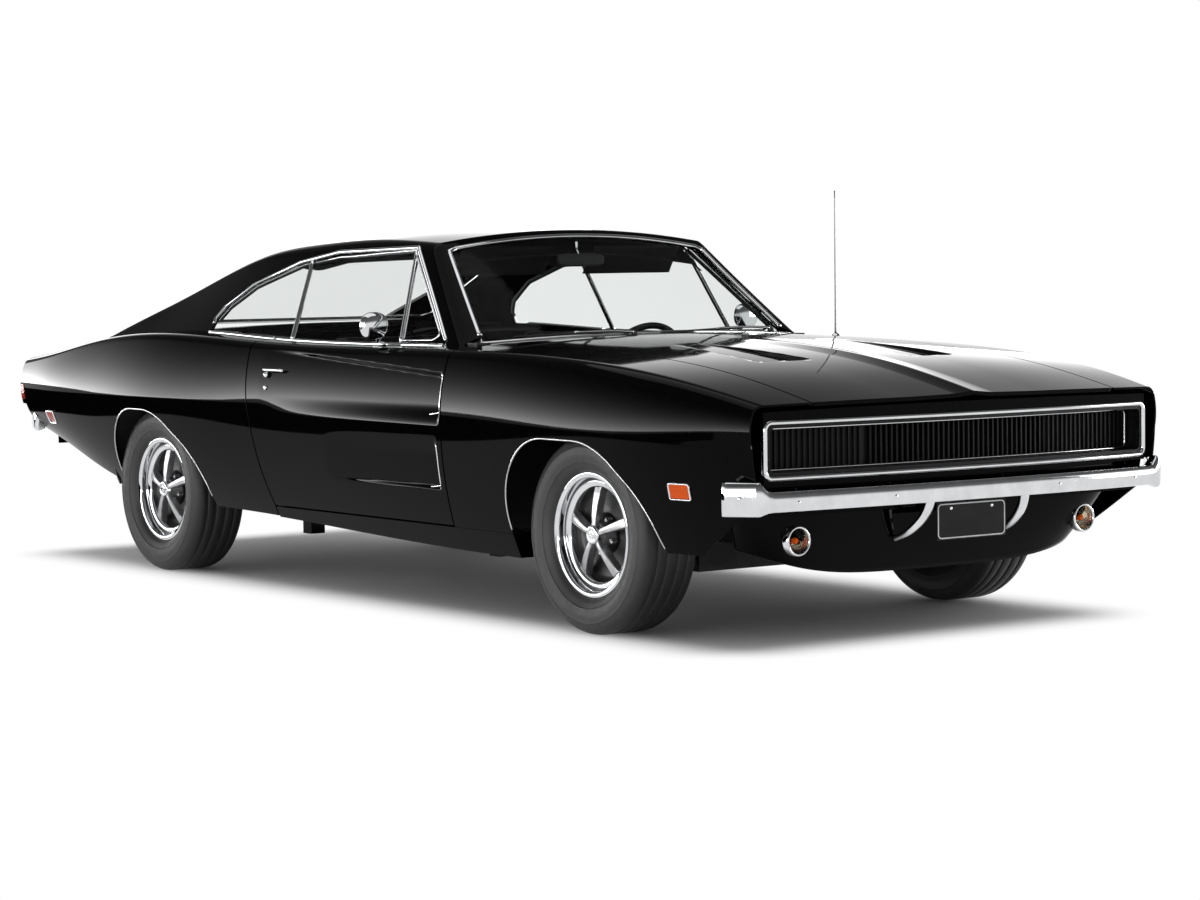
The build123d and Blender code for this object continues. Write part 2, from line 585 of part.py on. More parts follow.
def lift_pins(pin, root_x):
    """Pins and ears that carry the lift arms."""
    x, z = pin
    ears = None
    for side in (1, -1):
        y1 = side * (LIFT_ARM_Y + LIFT_ARM_WIDTH + RUN_GAP)
        y2 = side * (LIFT_ARM_Y + LIFT_ARM_WIDTH + 10)
        ear = rod((x, side * LIFT_ARM_Y, z), (x, y2, z), PIN_R)
        ear += rod((x, y1, z), (x, y2, z), BARREL_R)
        ear += block(x, root_x, y1, y2, z - BARREL_R, z)
        ear += block(root_x, root_x + (x - root_x) / 2, y1, y2, z - BARREL_R, HIGH) & INNER
        ears = ear if ears is None else ears + ear
    return ears


# Cowl between hood and windshield, and the firewall with its hinge posts
cowl = SHELL & block(FIREWALL_X, HOOD_REAR_X - LIFT_GAP, -HOOD_SEAM_Y + GAP / 2, HOOD_SEAM_Y - GAP / 2, 0, HIGH)
cowl += SHELL & block(FIREWALL_X, DOOR_FRONT_X, -POST_HALF, POST_HALF, 0, HIGH)
NODES["cowl"] = cowl
firewall = block(FIREWALL_X - FIREWALL, FIREWALL_X, -POST_HALF, POST_HALF, FLOOR_Z + FLOOR, HIGH)
firewall -= block(0, HIGH, -TUNNEL_HALF - FLOOR, TUNNEL_HALF + FLOOR, 0, TUNNEL_Z)
firewall &= LINER
post = block(POST_X, FIREWALL_X, -POST_HALF, -POST_HALF + POST, FLOOR_Z + FLOOR, PILLAR_FOOT_Z)
firewall += post + brackets
firewall += mirror(post + brackets, about=Plane.XZ)
firewall += lift_pins(HOOD_PIN, FIREWALL_X - FIREWALL / 2)
NODES["firewall"] = firewall

# Floor with its tunnel, the step over the rear axle and the trunk floor
top = FLOOR_Z + FLOOR
tunnel_out, tunnel_in = TUNNEL_HALF + FLOOR, TUNNEL_HALF
hat = [(-CABIN_HALF + SEAT_GAP, FLOOR_Z), (-tunnel_in, FLOOR_Z), (-tunnel_in, TUNNEL_Z - FLOOR),
       (tunnel_in, TUNNEL_Z - FLOOR), (tunnel_in, FLOOR_Z), (CABIN_HALF - SEAT_GAP, FLOOR_Z),
       (CABIN_HALF - SEAT_GAP, top), (tunnel_out, top), (tunnel_out, TUNNEL_Z), (-tunnel_out, TUNNEL_Z),
       (-tunnel_out, top), (-CABIN_HALF + SEAT_GAP, top)]
floor = plate_yz(hat, KICK_X, FIREWALL_X)
step = [(KICK_X, FLOOR_Z), (KICK_X, KICK_Z), (TRUNK_STEP_X, KICK_Z), (TRUNK_STEP_X, TRUNK_Z),
        (TAIL_LOW_X + TAIL_WALL + SEAT_GAP, TRUNK_Z), (TAIL_LOW_X + TAIL_WALL + SEAT_GAP, TRUNK_Z - FLOOR),
        (TRUNK_STEP_X + FLOOR, TRUNK_Z - FLOOR), (TRUNK_STEP_X + FLOOR, KICK_Z - FLOOR),
        (KICK_X - FLOOR, KICK_Z - FLOOR), (KICK_X - FLOOR, FLOOR_Z)]
rear_floor = plate_xz(step, -TRUNK_HALF, TRUNK_HALF)
rear_floor -= block(KICK_X - FLOOR, KICK_X, -tunnel_in, tunnel_in, FLOOR_Z, TUNNEL_Z - FLOOR)
NODES["floor_pan"] = floor + rear_floor

# Aprons beside the engine: wall, shelf over the wheel, flange under the fender, and the frame rail
apron_end = behind_nose(NOSE_SET + NOSE_DEPTH + SEAT_GAP)
apron = block(FIREWALL_X, HIGH * 2, -APRON_Y - APRON, -APRON_Y, RAIL_Z, APRON_SHELF_Z)
apron += block(FIREWALL_X, HIGH * 2, -APRON_FLANGE_Y - APRON, -APRON_Y, APRON_SHELF_Z - APRON, APRON_SHELF_Z)
apron += block(FIREWALL_X, HIGH * 2, -APRON_FLANGE_Y - APRON, -APRON_FLANGE_Y, APRON_SHELF_Z - APRON, HIGH)
apron += block(FIREWALL_X, HIGH * 2, -APRON_Y - APRON, -APRON_Y - APRON + RAIL_WIDTH, RAIL_Z, RAIL_Z + RAIL_HEIGHT)
valance_x = NOSE_CORNER_X - NOSE_SET - NOSE_STEP
apron -= plate_xz([(valance_x - SHEET - SEAT_GAP, NOSE_LOW_Z), (VALANCE_LOW[0] - SHEET - SEAT_GAP, VALANCE_LOW[1]),
                   (FRONT_X, VALANCE_LOW[1]), (FRONT_X, NOSE_LOW_Z)], -WIDE, 0)
NODES["aprons"] = both(apron & LINER & apron_end)

# Wheelhouses over the rear wheels

def across(x, z, radius, y0, y1):
    """A round plug across the car on the right."""
    return rod((x, -y0, z), (x, -y1, z), radius)


house = across(WHEELHOUSE_X, TYRE_RADIUS, WHEELHOUSE_R, WHEELHOUSE_Y, WIDE)
house -= across(WHEELHOUSE_X, TYRE_RADIUS, WHEELHOUSE_R - WHEELHOUSE_WALL, WHEELHOUSE_Y + WHEELHOUSE_WALL, WIDE)
house &= block(-WIDE * 2, 0, -WIDE, 0, TYRE_RADIUS, HIGH)
house -= block(REAR_AXLE_X - 2 * AXLE_R, REAR_AXLE_X + 2 * AXLE_R, -WHEEL_Y, 0, 0, TYRE_RADIUS + 3 * AXLE_R)
house &= LINER
NODES["rear_wheelhouses"] = both(house)

# Nose panel with the grille mouth, the grille and the two lamp doors
nose = behind_nose(NOSE_SET) - behind_nose(NOSE_SET + NOSE_DEPTH)
nose &= block(0, HIGH * 2, -NOSE_HALF, NOSE_HALF, NOSE_LOW_Z, HIGH) & body_form(SHEET + GAP)
mouth = [(-GRILLE_HALF, GRILLE_LOW_Z), (GRILLE_HALF, GRILLE_LOW_Z), (GRILLE_HALF, GRILLE_HIGH_Z),
         (-GRILLE_HALF, GRILLE_HIGH_Z)]
nose -= plate_yz(mouth, 0, HIGH * 2, GRILLE_ROUND)
nose -= block(0, FRONT_X, -WIDE, WIDE, 0, NOSE_STEP_Z) - behind_nose(NOSE_SET + NOSE_STEP)
NODES["nose_panel"] = nose


def in_mouth(front, back, inset):
    """A slice of the grille mouth between two depths behind the nose panel."""
    shrunk = [(y - math.copysign(inset, y), z + (inset if z == GRILLE_LOW_Z else -inset)) for y, z in mouth]
    piece = behind_nose(NOSE_SET + front) - behind_nose(NOSE_SET + back)
    return piece & plate_yz(shrunk, 0, HIGH * 2, GRILLE_ROUND)


def bars(y0, y1):
    """Upright bars across the mouth from y0 to y1, one pitch apart."""
    count = int((y1 - y0) / BAR_PITCH)
    start = (y0 + y1 - (count - 1) * BAR_PITCH) / 2
    return [block(0, HIGH * 2, y - BAR / 2, y + BAR / 2, 0, HIGH)
            for y in (start + i * BAR_PITCH for i in range(count))]


ring = in_mouth(0, NOSE_DEPTH, SEAT_GAP) - in_mouth(-1, NOSE_DEPTH + 1, GRILLE_FRAME)
backing = in_mouth(GRILLE_SET + GRILLE_DEPTH, GRILLE_SET + GRILLE_DEPTH + GRILLE_BACK, SEAT_GAP)
slats = in_mouth(GRILLE_SET, GRILLE_SET + GRILLE_DEPTH, SEAT_GAP)
middle_slats = [slats & bar for bar in bars(-LAMP_DOOR_Y, LAMP_DOOR_Y)]
NODES["grille"] = ring + backing + middle_slats
lamp_door = in_mouth(GRILLE_SET + GRILLE_DEPTH / 2, GRILLE_SET + GRILLE_DEPTH - SEAT_GAP, GRILLE_FRAME + 4)
lamp_door &= block(0, HIGH * 2, -WIDE, -LAMP_DOOR_Y - 4, 0, HIGH)
door_slats = in_mouth(GRILLE_SET, GRILLE_SET + GRILLE_DEPTH / 2, GRILLE_FRAME + 4)
lamp_door += [door_slats & bar for bar in bars(-GRILLE_HALF + GRILLE_FRAME + 6, -LAMP_DOOR_Y - 6)]
NODES["headlamp_doors"] = both(lamp_door)

# Valance below the bumper, with the turn lamps let into it
valance = plate_xz([(valance_x, NOSE_LOW_Z), VALANCE_LOW, (VALANCE_LOW[0] - SHEET, VALANCE_LOW[1]),
                    (valance_x - SHEET, NOSE_LOW_Z)], -VALANCE_HALF, VALANCE_HALF)
lamps = []
for side in (1, -1):
    lamp_line = ((HIGH, side * TURN_LAMP_Y, TURN_LAMP_Z), (HIGH * 2, side * TURN_LAMP_Y, TURN_LAMP_Z))
    valance -= rod(*lamp_line, TURN_LAMP_R + SEAT_GAP)
    face_x = VALANCE_LOW[0] + (valance_x - VALANCE_LOW[0]) * (TURN_LAMP_Z - VALANCE_LOW[1]) / (NOSE_LOW_Z - VALANCE_LOW[1])
    lens = rod((face_x - TURN_LAMP_DEPTH, side * TURN_LAMP_Y, TURN_LAMP_Z),
               (face_x + TURN_LAMP_R / 2, side * TURN_LAMP_Y, TURN_LAMP_Z), TURN_LAMP_R)
    lamps.append(fillet(lens.edges().sort_by(Axis.X)[-1], TURN_LAMP_R / 3))
NODES["front_valance"] = valance
NODES["turn_lamps"] = Compound(children=lamps)


def bumper(tip_x, half, low, high, way):
    """A bar swept across the car, its ends wrapped round the corners; way is +1 at the front and -1 at the rear."""
    corner_x = tip_x - way * BUMPER_SWEEP
    front = ThreePointArc((corner_x, -half), (tip_x, 0), (corner_x, half))
    inner = ThreePointArc((corner_x - way * BUMPER_DEPTH, half - BUMPER_DEPTH), (tip_x - way * BUMPER_DEPTH, 0),
                          (corner_x - way * BUMPER_DEPTH, -half + BUMPER_DEPTH))
    end_x = corner_x - way * BUMPER_BACK
    wrap = BUMPER_DEPTH + SHEET
    right = Polyline(inner @ 1, (end_x, -half - wrap + BUMPER_DEPTH), (end_x, -half - wrap), front @ 0)
    left = Polyline(front @ 1, (end_x, half + wrap), (end_x, half + wrap - BUMPER_DEPTH), inner @ 0)
    bar = extrude(make_face(front + left + inner + right), high - low, dir=(0, 0, 1))
    return Pos(0, 0, low) * bar


front_bar = bumper(FRONT_X, BUMPER_HALF, *FRONT_BUMPER_Z, 1)
for side in (1, -1):
    y0, y1 = side * GUARD_Y, side * (GUARD_Y + GUARD_WIDTH)
    low, high = GUARD_Z
    guard = plate_xz([(FRONT_X - 8, high), (FRONT_X - 8, FRONT_BUMPER_Z[0]), (FRONT_X - 60, low), (FRONT_X - 90, low),
                      (FRONT_X - 56, FRONT_BUMPER_Z[0]), (FRONT_X - 56, high)], y0, y1)
    front_bar += guard
    front_bar += block(NOSE_CENTRE_X - 2 * NOSE_DEPTH, FRONT_X - 20, side * BRACKET_Y, side * (BRACKET_Y + GUARD_WIDTH),
                       FRONT_BUMPER_Z[0] + 10, FRONT_BUMPER_Z[1] - 10) - behind_nose(NOSE_SET + NOSE_STEP - SEAT_GAP)
NODES["front_bumper"] = front_bar
plate_x = FRONT_X - BUMPER_DEPTH
NODES["number_plate"] = block(plate_x, plate_x + PLATE, -PLATE_HALF, PLATE_HALF, PLATE_Z, FRONT_BUMPER_Z[0] - SEAT_GAP)

# Tail: recessed face under a top strip, lamps on it, and the rear bumper
tail_step_z = REAR_BUMPER_Z[1] + GAP
tail_block = block(TAIL_FACE_X, TAIL_FACE_X + TAIL_WALL, -WIDE, WIDE, tail_step_z, HIGH)
lid_strip = block(REAR_X, 0, -SAIL_Y + SEAT_GAP, SAIL_Y - SEAT_GAP, 0, HIGH)
tail = (LINER & tail_block) + (INNER & tail_block & lid_strip)
tail += LINER & block(TAIL_FACE_X, TAIL_LOW_X + TAIL_WALL, -WIDE, WIDE, tail_step_z, tail_step_z + TAIL_WALL)
tail += block(TAIL_LOW_X, TAIL_LOW_X + TAIL_WALL, -TAIL_LAMP_Y[1], TAIL_LAMP_Y[1], TAIL_LOW_Z, tail_step_z + TAIL_WALL)
tail += SHELL & block(BODY_STATIONS[-1][0], LID_REAR_X - GAP, -SAIL_Y + SEAT_GAP, SAIL_Y - SEAT_GAP, TAIL_LAMP_Z[1], HIGH)
NODES["tail_panel"] = tail
lamp = block(TAIL_FACE_X - TAIL_LAMP_DEPTH, TAIL_FACE_X, -TAIL_LAMP_Y[1], -TAIL_LAMP_Y[0], *TAIL_LAMP_Z)
NODES["tail_lamps"] = both(fillet(lamp.edges().filter_by(Axis.X), TAIL_LAMP_DEPTH))
rear_bar = bumper(REAR_X, REAR_BUMPER_HALF, *REAR_BUMPER_Z, -1)
for side in (1, -1):
    rear_bar += block(REAR_X + 20, TAIL_LOW_X, side * BRACKET_Y, side * (BRACKET_Y + GUARD_WIDTH),
                      REAR_BUMPER_Z[0] + 10, REAR_BUMPER_Z[1] - 10)
NODES["rear_bumper"] = rear_bar
deck = SHELL & block(LID_FRONT_X + LIFT_GAP, SHELF_X, -SAIL_Y + SEAT_GAP, SAIL_Y - SEAT_GAP, 0, HIGH)
deck += lift_pins(LID_PIN, LID_PIN[0] - 2 * BARREL_R)
NODES["rear_deck"] = deck

# Lamps and small pieces on the skin
NODES["front_markers"] = both(proud(FRONT_MARKER, MARKER_PROUD))
NODES["rear_markers"] = both(proud(REAR_MARKER, MARKER_PROUD))
ant_x, ant_y = ANTENNA_AT
antenna = rod((ant_x, ant_y, BODY_STATIONS[3][6] - SHEET), (ant_x, ant_y, ANTENNA_TOP), ANTENNA_R)
antenna += rod((ant_x, ant_y, BODY_STATIONS[3][6] - SHEET), (ant_x, ant_y, BODY_STATIONS[3][7] + 6), 6 * ANTENNA_R)
NODES["antenna"] = antenna - Pos(0, 0, SEAT_GAP) * OUTER

# Wheels, tyres and what carries them
def wheel():
    """A wheel about the Y axis at the origin, its face towards -Y."""
    lip, barrel, wall, half = RIM_LIP_R, RIM_BARREL_R, RIM_WALL, RIM_HALF
    profile = [(barrel, half), (lip, half), (lip, half - wall), (barrel + wall, half - 2 * wall),
               (barrel + wall, -half + 2 * wall), (lip, -half + wall), (lip, -half), (barrel, -half)]
    rim = revolve(make_face(Plane.XY * Polyline(*profile, close=True)), Axis.Y)
    face = rod((0, -DISC_Y, 0), (0, -DISC_Y + 2 * SPOKE, 0), HUB_R)
    face += rod((0, -DISC_Y - SPOKE, 0), (0, 0, 0), CAP_R)
    for i in range(SPOKES):
        spoke = plate_xz([(-SPOKE_WIDTH / 2, 0), (SPOKE_WIDTH / 2, 0), (SPOKE_WIDTH * 0.7, barrel),
                          (-SPOKE_WIDTH * 0.7, barrel)], -DISC_Y, -DISC_Y + SPOKE)
        face += Rot(0, i * 360 / SPOKES, 0) * spoke
    drum = rod((0, -DISC_Y + SPOKE, 0), (0, -DRUM_INNER_Y, 0), DRUM_R)
    body = rim + face + drum
    return body - rod((0, -DISC_Y, 0), (0, HIGH, 0), SPINDLE_R + RUN_GAP)


def tyre():
    """A tyre about the Y axis at the origin, resting on the rim's seat."""
    half, radius = TYRE_WIDTH / 2, TYRE_RADIUS
    seat = RIM_BARREL_R + RIM_WALL + TYRE_SEAT
    inside = RIM_HALF - 2 * RIM_WALL - TYRE_SEAT
    bead = (RIM_LIP_R + TYRE_BEAD, -inside - TYRE_BEAD)
    right = [(seat, -inside), bead, (TYRE_BULGE_R, -half), (TYRE_EDGE_R, -half + TYRE_SHOULDER / 3)]
    right.append((radius, -half + TYRE_SHOULDER))
    profile = [*right, *((r, -y) for r, y in reversed(right))]
    return revolve(make_face(Plane.XY * Polyline(*profile, close=True)), Axis.Y)


WHEEL, TYRE = wheel(), tyre()
for end, axle_x in (("front", FRONT_AXLE_X), ("rear", REAR_AXLE_X)):
    for side, turn in (("left", 180), ("right", 0)):
        place = Pos(axle_x, -WHEEL_Y if turn == 0 else WHEEL_Y, TYRE_RADIUS) * Rot(0, 0, turn)
        NODES[f"wheel_{end}_{side}"] = place * WHEEL
        NODES[f"tyre_{end}_{side}"] = place * TYRE

low_z, high_z = TYRE_RADIUS - BALL_JOINT_Z, TYRE_RADIUS + BALL_JOINT_Z
spindle_end = WHEEL_Y + DISC_Y - RUN_GAP
knuckle = rod((FRONT_AXLE_X, -KINGPIN_Y, low_z - ARM), (FRONT_AXLE_X, -KINGPIN_Y, high_z + ARM), KINGPIN_R)
knuckle += block(FRONT_AXLE_X - SPINDLE_R, FRONT_AXLE_X + SPINDLE_R, -KINGPIN_Y - SPINDLE_R, -KINGPIN_Y + SPINDLE_R,
                 low_z + ARM / 2 + SEAT_GAP, high_z - ARM / 2 - SEAT_GAP)
knuckle += rod((FRONT_AXLE_X, -KINGPIN_Y, TYRE_RADIUS), (FRONT_AXLE_X, -spindle_end, TYRE_RADIUS), SPINDLE_R)
NODES["knuckle_right"] = knuckle
NODES["knuckle_left"] = mirror(knuckle, about=Plane.XZ)


def arm(z, root_y):
    """A flat arm out to the kingpin, with the bore along Z."""
    root, tip = ARM_RING_R * 2, ARM_RING_R
    shape = plate_xy([(FRONT_AXLE_X - root, -root_y), (FRONT_AXLE_X + root, -root_y),
                      (FRONT_AXLE_X + tip, -KINGPIN_Y), (FRONT_AXLE_X - tip, -KINGPIN_Y)], z - ARM / 2, z + ARM / 2)
    shape += Pos(FRONT_AXLE_X, -KINGPIN_Y, z) * Cylinder(ARM_RING_R, ARM)
    return shape - Pos(FRONT_AXLE_X, -KINGPIN_Y, z) * Cylinder(KINGPIN_R + RUN_GAP, 2 * ARM)


cross = block(*CROSSMEMBER_X, -APRON_Y - APRON, APRON_Y + APRON, CROSSMEMBER_Z[0], CROSSMEMBER_Z[1] - SEAT_GAP)
lower = arm(low_z, APRON_Y)
subframe = cross + lower + mirror(lower, about=Plane.XZ)
upper = arm(high_z, APRON_Y + APRON)
NODES["front_suspension"] = Compound(children=[*subframe.solids(), *both(upper).solids()])

axle = rod((REAR_AXLE_X, -WHEELHOUSE_Y - 40, TYRE_RADIUS), (REAR_AXLE_X, WHEELHOUSE_Y + 40, TYRE_RADIUS), AXLE_R)
axle += rod((REAR_AXLE_X, -spindle_end, TYRE_RADIUS), (REAR_AXLE_X, spindle_end, TYRE_RADIUS), SPINDLE_R)
axle += rod((REAR_AXLE_X - DIFF_R, 0, TYRE_RADIUS), (REAR_AXLE_X + DIFF_R, 0, TYRE_RADIUS), DIFF_R)
axle += rod((REAR_AXLE_X, 0, TYRE_RADIUS), (GEARBOX_X - SEAT_GAP, 0, TYRE_RADIUS), SHAFT_R)
NODES["rear_axle"] = axle

spring_top = TYRE_RADIUS - AXLE_R - SEAT_GAP
spring = block(SPRING_X[1], SPRING_X[0], -SPRING_Y - SPRING_WIDTH / 2, -SPRING_Y + SPRING_WIDTH / 2,
               spring_top - SPRING, spring_top)
spring += block(SPRING_X[0] - 80, SPRING_X[0], -SPRING_Y - SPRING_WIDTH / 2, -SPRING_Y + SPRING_WIDTH / 2,
                spring_top - SPRING, FLOOR_Z)
spring -= block(SPRING_X[0] - 80, SPRING_X[0], -WIDE, 0, FLOOR_Z, HIGH)
spring += block(SPRING_X[1], SPRING_X[1] + 60, -SPRING_Y - SPRING_WIDTH / 2, -SPRING_Y + SPRING_WIDTH / 2,
                spring_top - SPRING, TRUNK_Z - FLOOR)
spring -= block(KICK_X - FLOOR, 0, -WIDE, 0, FLOOR_Z, HIGH)
NODES["leaf_springs"] = both(spring)

engine = block(*ENGINE_X, -ENGINE_HALF, ENGINE_HALF, RAIL_Z, ENGINE_Z)
engine += block(GEARBOX_X, ENGINE_X[0], -GEARBOX_HALF, GEARBOX_HALF, RAIL_Z - ARM, GEARBOX_Z)
NODES["engine"] = engine
tank = block(*TANK_X, -TANK_HALF, TANK_HALF, TANK_Z, TRUNK_Z - FLOOR)
NODES["fuel_tank"] = fillet(tank.edges().filter_by(Axis.Z), MUFFLER_R)

pipe_z = FLOOR_Z - MUFFLER_R
route = FilletPolyline((ENGINE_X[0] - 60, -EXHAUST_Y, pipe_z), (-640, -EXHAUST_Y, pipe_z), (-980, -TAILPIPE_Y, pipe_z + 30),
                       (-1150, -TAILPIPE_Y, 460), (-1450, -TAILPIPE_Y, 460), (-1680, -TAILPIPE_Y, 350),
                       (TAIL_FACE_X, -TAILPIPE_Y, 350), radius=90)
pipe = sweep(Plane(route @ 0, z_dir=route % 0) * Circle(PIPE_R), path=route)
pipe += rod((-600, -EXHAUST_Y, pipe_z), (-120, -EXHAUST_Y, pipe_z), MUFFLER_R - SEAT_GAP)
NODES["exhaust"] = both(pipe)

# Cabin
dash = plate_xz([(560, 640), (545, 850), (620, DASH_TOP_Z), (FIREWALL_X - FIREWALL, DASH_TOP_Z),
                 (FIREWALL_X - FIREWALL, 640)], -POST_HALF + POST, POST_HALF - POST)
wheel_x, wheel_y, wheel_z = WHEEL_AT
tilt = math.radians(WHEEL_RAKE)
ahead = (math.cos(tilt), 0, -math.sin(tilt))


def along(distance):
    """A point on the steering column, this far ahead of the wheel's middle."""
    return (wheel_x + distance * ahead[0], wheel_y, wheel_z + distance * ahead[2])


dash += rod(along(60), along(300), COLUMN_R)
dash += rod(along(-10), along(80), COLUMN_PIN_R)
NODES["dashboard"] = dash
hoop = Plane(Vector(*WHEEL_AT), x_dir=(0, 1, 0), z_dir=ahead) * Torus(WHEEL_RIM_R, WHEEL_RIM)
hoop += rod(along(0), along(55), COLUMN_R * 1.3)
for angle in (20, 160, 270):
    arm_end = Vector(0, WHEEL_RIM_R * math.cos(math.radians(angle)), 0)
    arm_end += Vector(math.sin(tilt), 0, math.cos(tilt)) * (WHEEL_RIM_R * math.sin(math.radians(angle)))
    hoop += rod(along(20), tuple(Vector(*WHEEL_AT) + arm_end), WHEEL_RIM * 0.7)
NODES["steering_wheel"] = hoop - rod(along(-10 - SEAT_GAP), along(80), COLUMN_PIN_R + RUN_GAP)
seat = [(440, top + SEAT_GAP), (455, 470), (60, 450), (-150, 985), (-270, 985), (-130, 420), (-90, top + SEAT_GAP)]
NODES["front_seats"] = both(plate_xz(seat, -SEAT_Y[1], -SEAT_Y[0], 18))
bench = [(-520, top + SEAT_GAP), (-520, 530), (-880, 570), (-1010, 930), (-1130, 930), (-1010, KICK_Z + SEAT_GAP),
         (KICK_X + SEAT_GAP, KICK_Z + SEAT_GAP), (KICK_X + SEAT_GAP, top + SEAT_GAP)]
bench_solid = plate_xz(bench, -TRUNK_HALF, TRUNK_HALF)
bench_solid -= block(-WIDE, 0, -tunnel_out - SEAT_GAP, tunnel_out + SEAT_GAP, 0, TUNNEL_Z + SEAT_GAP)
NODES["rear_seat"] = bench_solid
view_mirror = block(440, 458, -110, 110, 1222, 1272) + rod((449, 0, 1262), (416, 0, 1330), 7)
NODES["cabin_mirror"] = view_mirror & screen_form(PILLAR + SEAT_GAP)
wipers = []
for y0, y1 in ((-120, -640), (520, 20)):
    wiper = rod((945, y0, 988), (922, y1, 978), WIPER_R) + rod((945, y0, 960), (945, y0, 992), 2 * WIPER_R)
    wipers.append(wiper - Pos(0, 0, SEAT_GAP) * OUTER - screen_form(SHEET / 2 - SEAT_GAP))
NODES["wipers"] = Compound(children=[solid for wiper in wipers for solid in wiper.solids()])


if True:
    os.makedirs("parts", exist_ok=True)
    for name, shape in NODES.items():
        export_step(shape, f"parts/{name}.step")
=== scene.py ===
"""Gloss black two-door fastback on a pale studio floor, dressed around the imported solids.

Metres, +X forward, +Y left, +Z up."""

import math

import bmesh
import bpy
import numpy as np
from mathutils import Matrix, Vector
from mathutils.geometry import delaunay_2d_cdt


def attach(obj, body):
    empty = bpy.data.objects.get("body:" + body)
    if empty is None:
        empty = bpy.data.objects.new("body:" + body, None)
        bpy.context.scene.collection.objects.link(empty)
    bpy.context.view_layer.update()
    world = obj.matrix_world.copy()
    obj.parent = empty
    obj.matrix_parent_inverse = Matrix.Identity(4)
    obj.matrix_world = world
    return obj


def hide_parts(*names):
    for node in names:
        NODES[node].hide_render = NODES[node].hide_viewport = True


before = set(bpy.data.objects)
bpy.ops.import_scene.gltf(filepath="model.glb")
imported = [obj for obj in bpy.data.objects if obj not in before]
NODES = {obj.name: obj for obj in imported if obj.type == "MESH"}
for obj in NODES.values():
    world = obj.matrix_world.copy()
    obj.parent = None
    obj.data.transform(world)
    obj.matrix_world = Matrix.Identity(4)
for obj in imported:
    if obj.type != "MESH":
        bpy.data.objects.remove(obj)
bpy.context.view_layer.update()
MM = 0.001
SIDES = ((1, "left"), (-1, "right"))

# Sections of the body, the same rows as the solids, in millimetres
BODY_ROWS = np.array([
    (2660, 770, 320, 868, 650, 862, 768, 786),
    (2255, 850, 285, 945, 668, 908, 853, 876),
    (1700, 872, 240, 970, 683, 916, 914, 944),
    (1190, 872, 232, 957, 692, 908, 934, 972),
    (300, 862, 252, 942, 704, 895, 938, 980),
    (-500, 858, 280, 947, 713, 896, 950, 986),
    (-1260, 856, 305, 973, 716, 906, 972, 1000),
    (-1783, 842, 375, 950, 714, 896, 940, 966),
    (-2250, 812, 490, 908, 710, 866, 880, 908),
    (-2620, 770, 560, 846, 705, 812, 846, 878),
], float)[::-1] * MM
ROOF_ROWS = np.array([
    (405, 836, 628, 1312, 1362),
    (0, 838, 622, 1330, 1381),
    (-500, 838, 616, 1316, 1364),
    (-842, 836, 608, 1288, 1318),
    (-1122, 834, 612, 1228, 1252),
    (-1498, 826, 640, 1116, 1136),
    (-1960, 800, 720, 966, 984),
    (-2080, 790, 745, 921, 937),
], float)[::-1] * MM
SCREEN_ROWS = np.array([
    (915, 840, 818, 852, 978),
    (790, 838, 772, 962, 1080),
    (600, 836, 702, 1130, 1226),
    (405, 836, 628, 1312, 1362),
], float)[::-1] * MM
LOWER_BULGE, UPPER_BULGE, SHOULDER_ROUND = 0.020, 0.012, 0.034
BELT_Z, ROOF_ROUND = 0.830, 0.055
HEADER_X = 0.405
GAP = 0.006

FRONT_ARCH = [(1300, 60), (1264, 470), (1420, 655), (1830, 655), (2060, 470), (2190, 60)]
REAR_ARCH = [(-1640, 60), (-1618, 480), (-1480, 666), (-1180, 666), (-890, 480), (-790, 60)]
ARCH_ROUND = 0.340
DOOR_REAR = [(-486, 1010), (-449, 713), (-400, 460), (-362, 322)]
SIDE_OPENING = [(690, 900), (690, 966), (305, 1302), (-243, 1291), (-520, 1254), (-850, 1165),
                (-1012, 1082),
                (-1062, 1028), (-1010, 900)]
NOSE_CENTRE_X, NOSE_CORNER_X, NOSE_CORNER_Y = 2.605, 2.556, 0.900
HOOD_SEAM_Y, HOOD_REAR_X = 0.664, 1.062
LID_SEAM_Y, LID_FRONT_X, LID_REAR_X = 0.570, -1.560, -2.530
DOOR_FRONT_X, DOOR_BOTTOM_Z = 0.907, 0.322
SAIL_Y = LID_SEAM_Y + GAP
CABIN_HALF = 0.765
SKIN_INSET = 0.0003


class Spline:
    """A natural cubic through the rows of a table, one column at a time."""

    def __init__(self, rows):
        self.x, self.y = rows[:, 0], rows[:, 1:]
        n = len(self.x)
        h = np.diff(self.x)
        a = np.zeros((n, n))
        b = np.zeros((n, self.y.shape[1]))
        a[0, 0] = a[-1, -1] = 1
        for i in range(1, n - 1):
            a[i, i - 1], a[i, i], a[i, i + 1] = h[i - 1], 2 * (h[i - 1] + h[i]), h[i]
            b[i] = 6 * ((self.y[i + 1] - self.y[i]) / h[i] - (self.y[i] - self.y[i - 1]) / h[i - 1])
        self.m = np.linalg.solve(a, b)

    def __call__(self, x):
        x = np.asarray(x, float)
        i = np.clip(np.searchsorted(self.x, x) - 1, 0, len(self.x) - 2)
        h = self.x[i + 1] - self.x[i]
        t0, t1 = (self.x[i + 1] - x), (x - self.x[i])
        t0, t1, h = t0[..., None], t1[..., None], h[..., None]
        m0, m1, y0, y1 = self.m[i], self.m[i + 1], self.y[i], self.y[i + 1]
        return (m0 * t0**3 + m1 * t1**3) / (6 * h) + (y0 / h - m0 * h / 6) * t0 + (y1 / h - m1 * h / 6) * t1


BODY, ROOF, SCREEN = Spline(BODY_ROWS), Spline(ROOF_ROWS), Spline(SCREEN_ROWS)


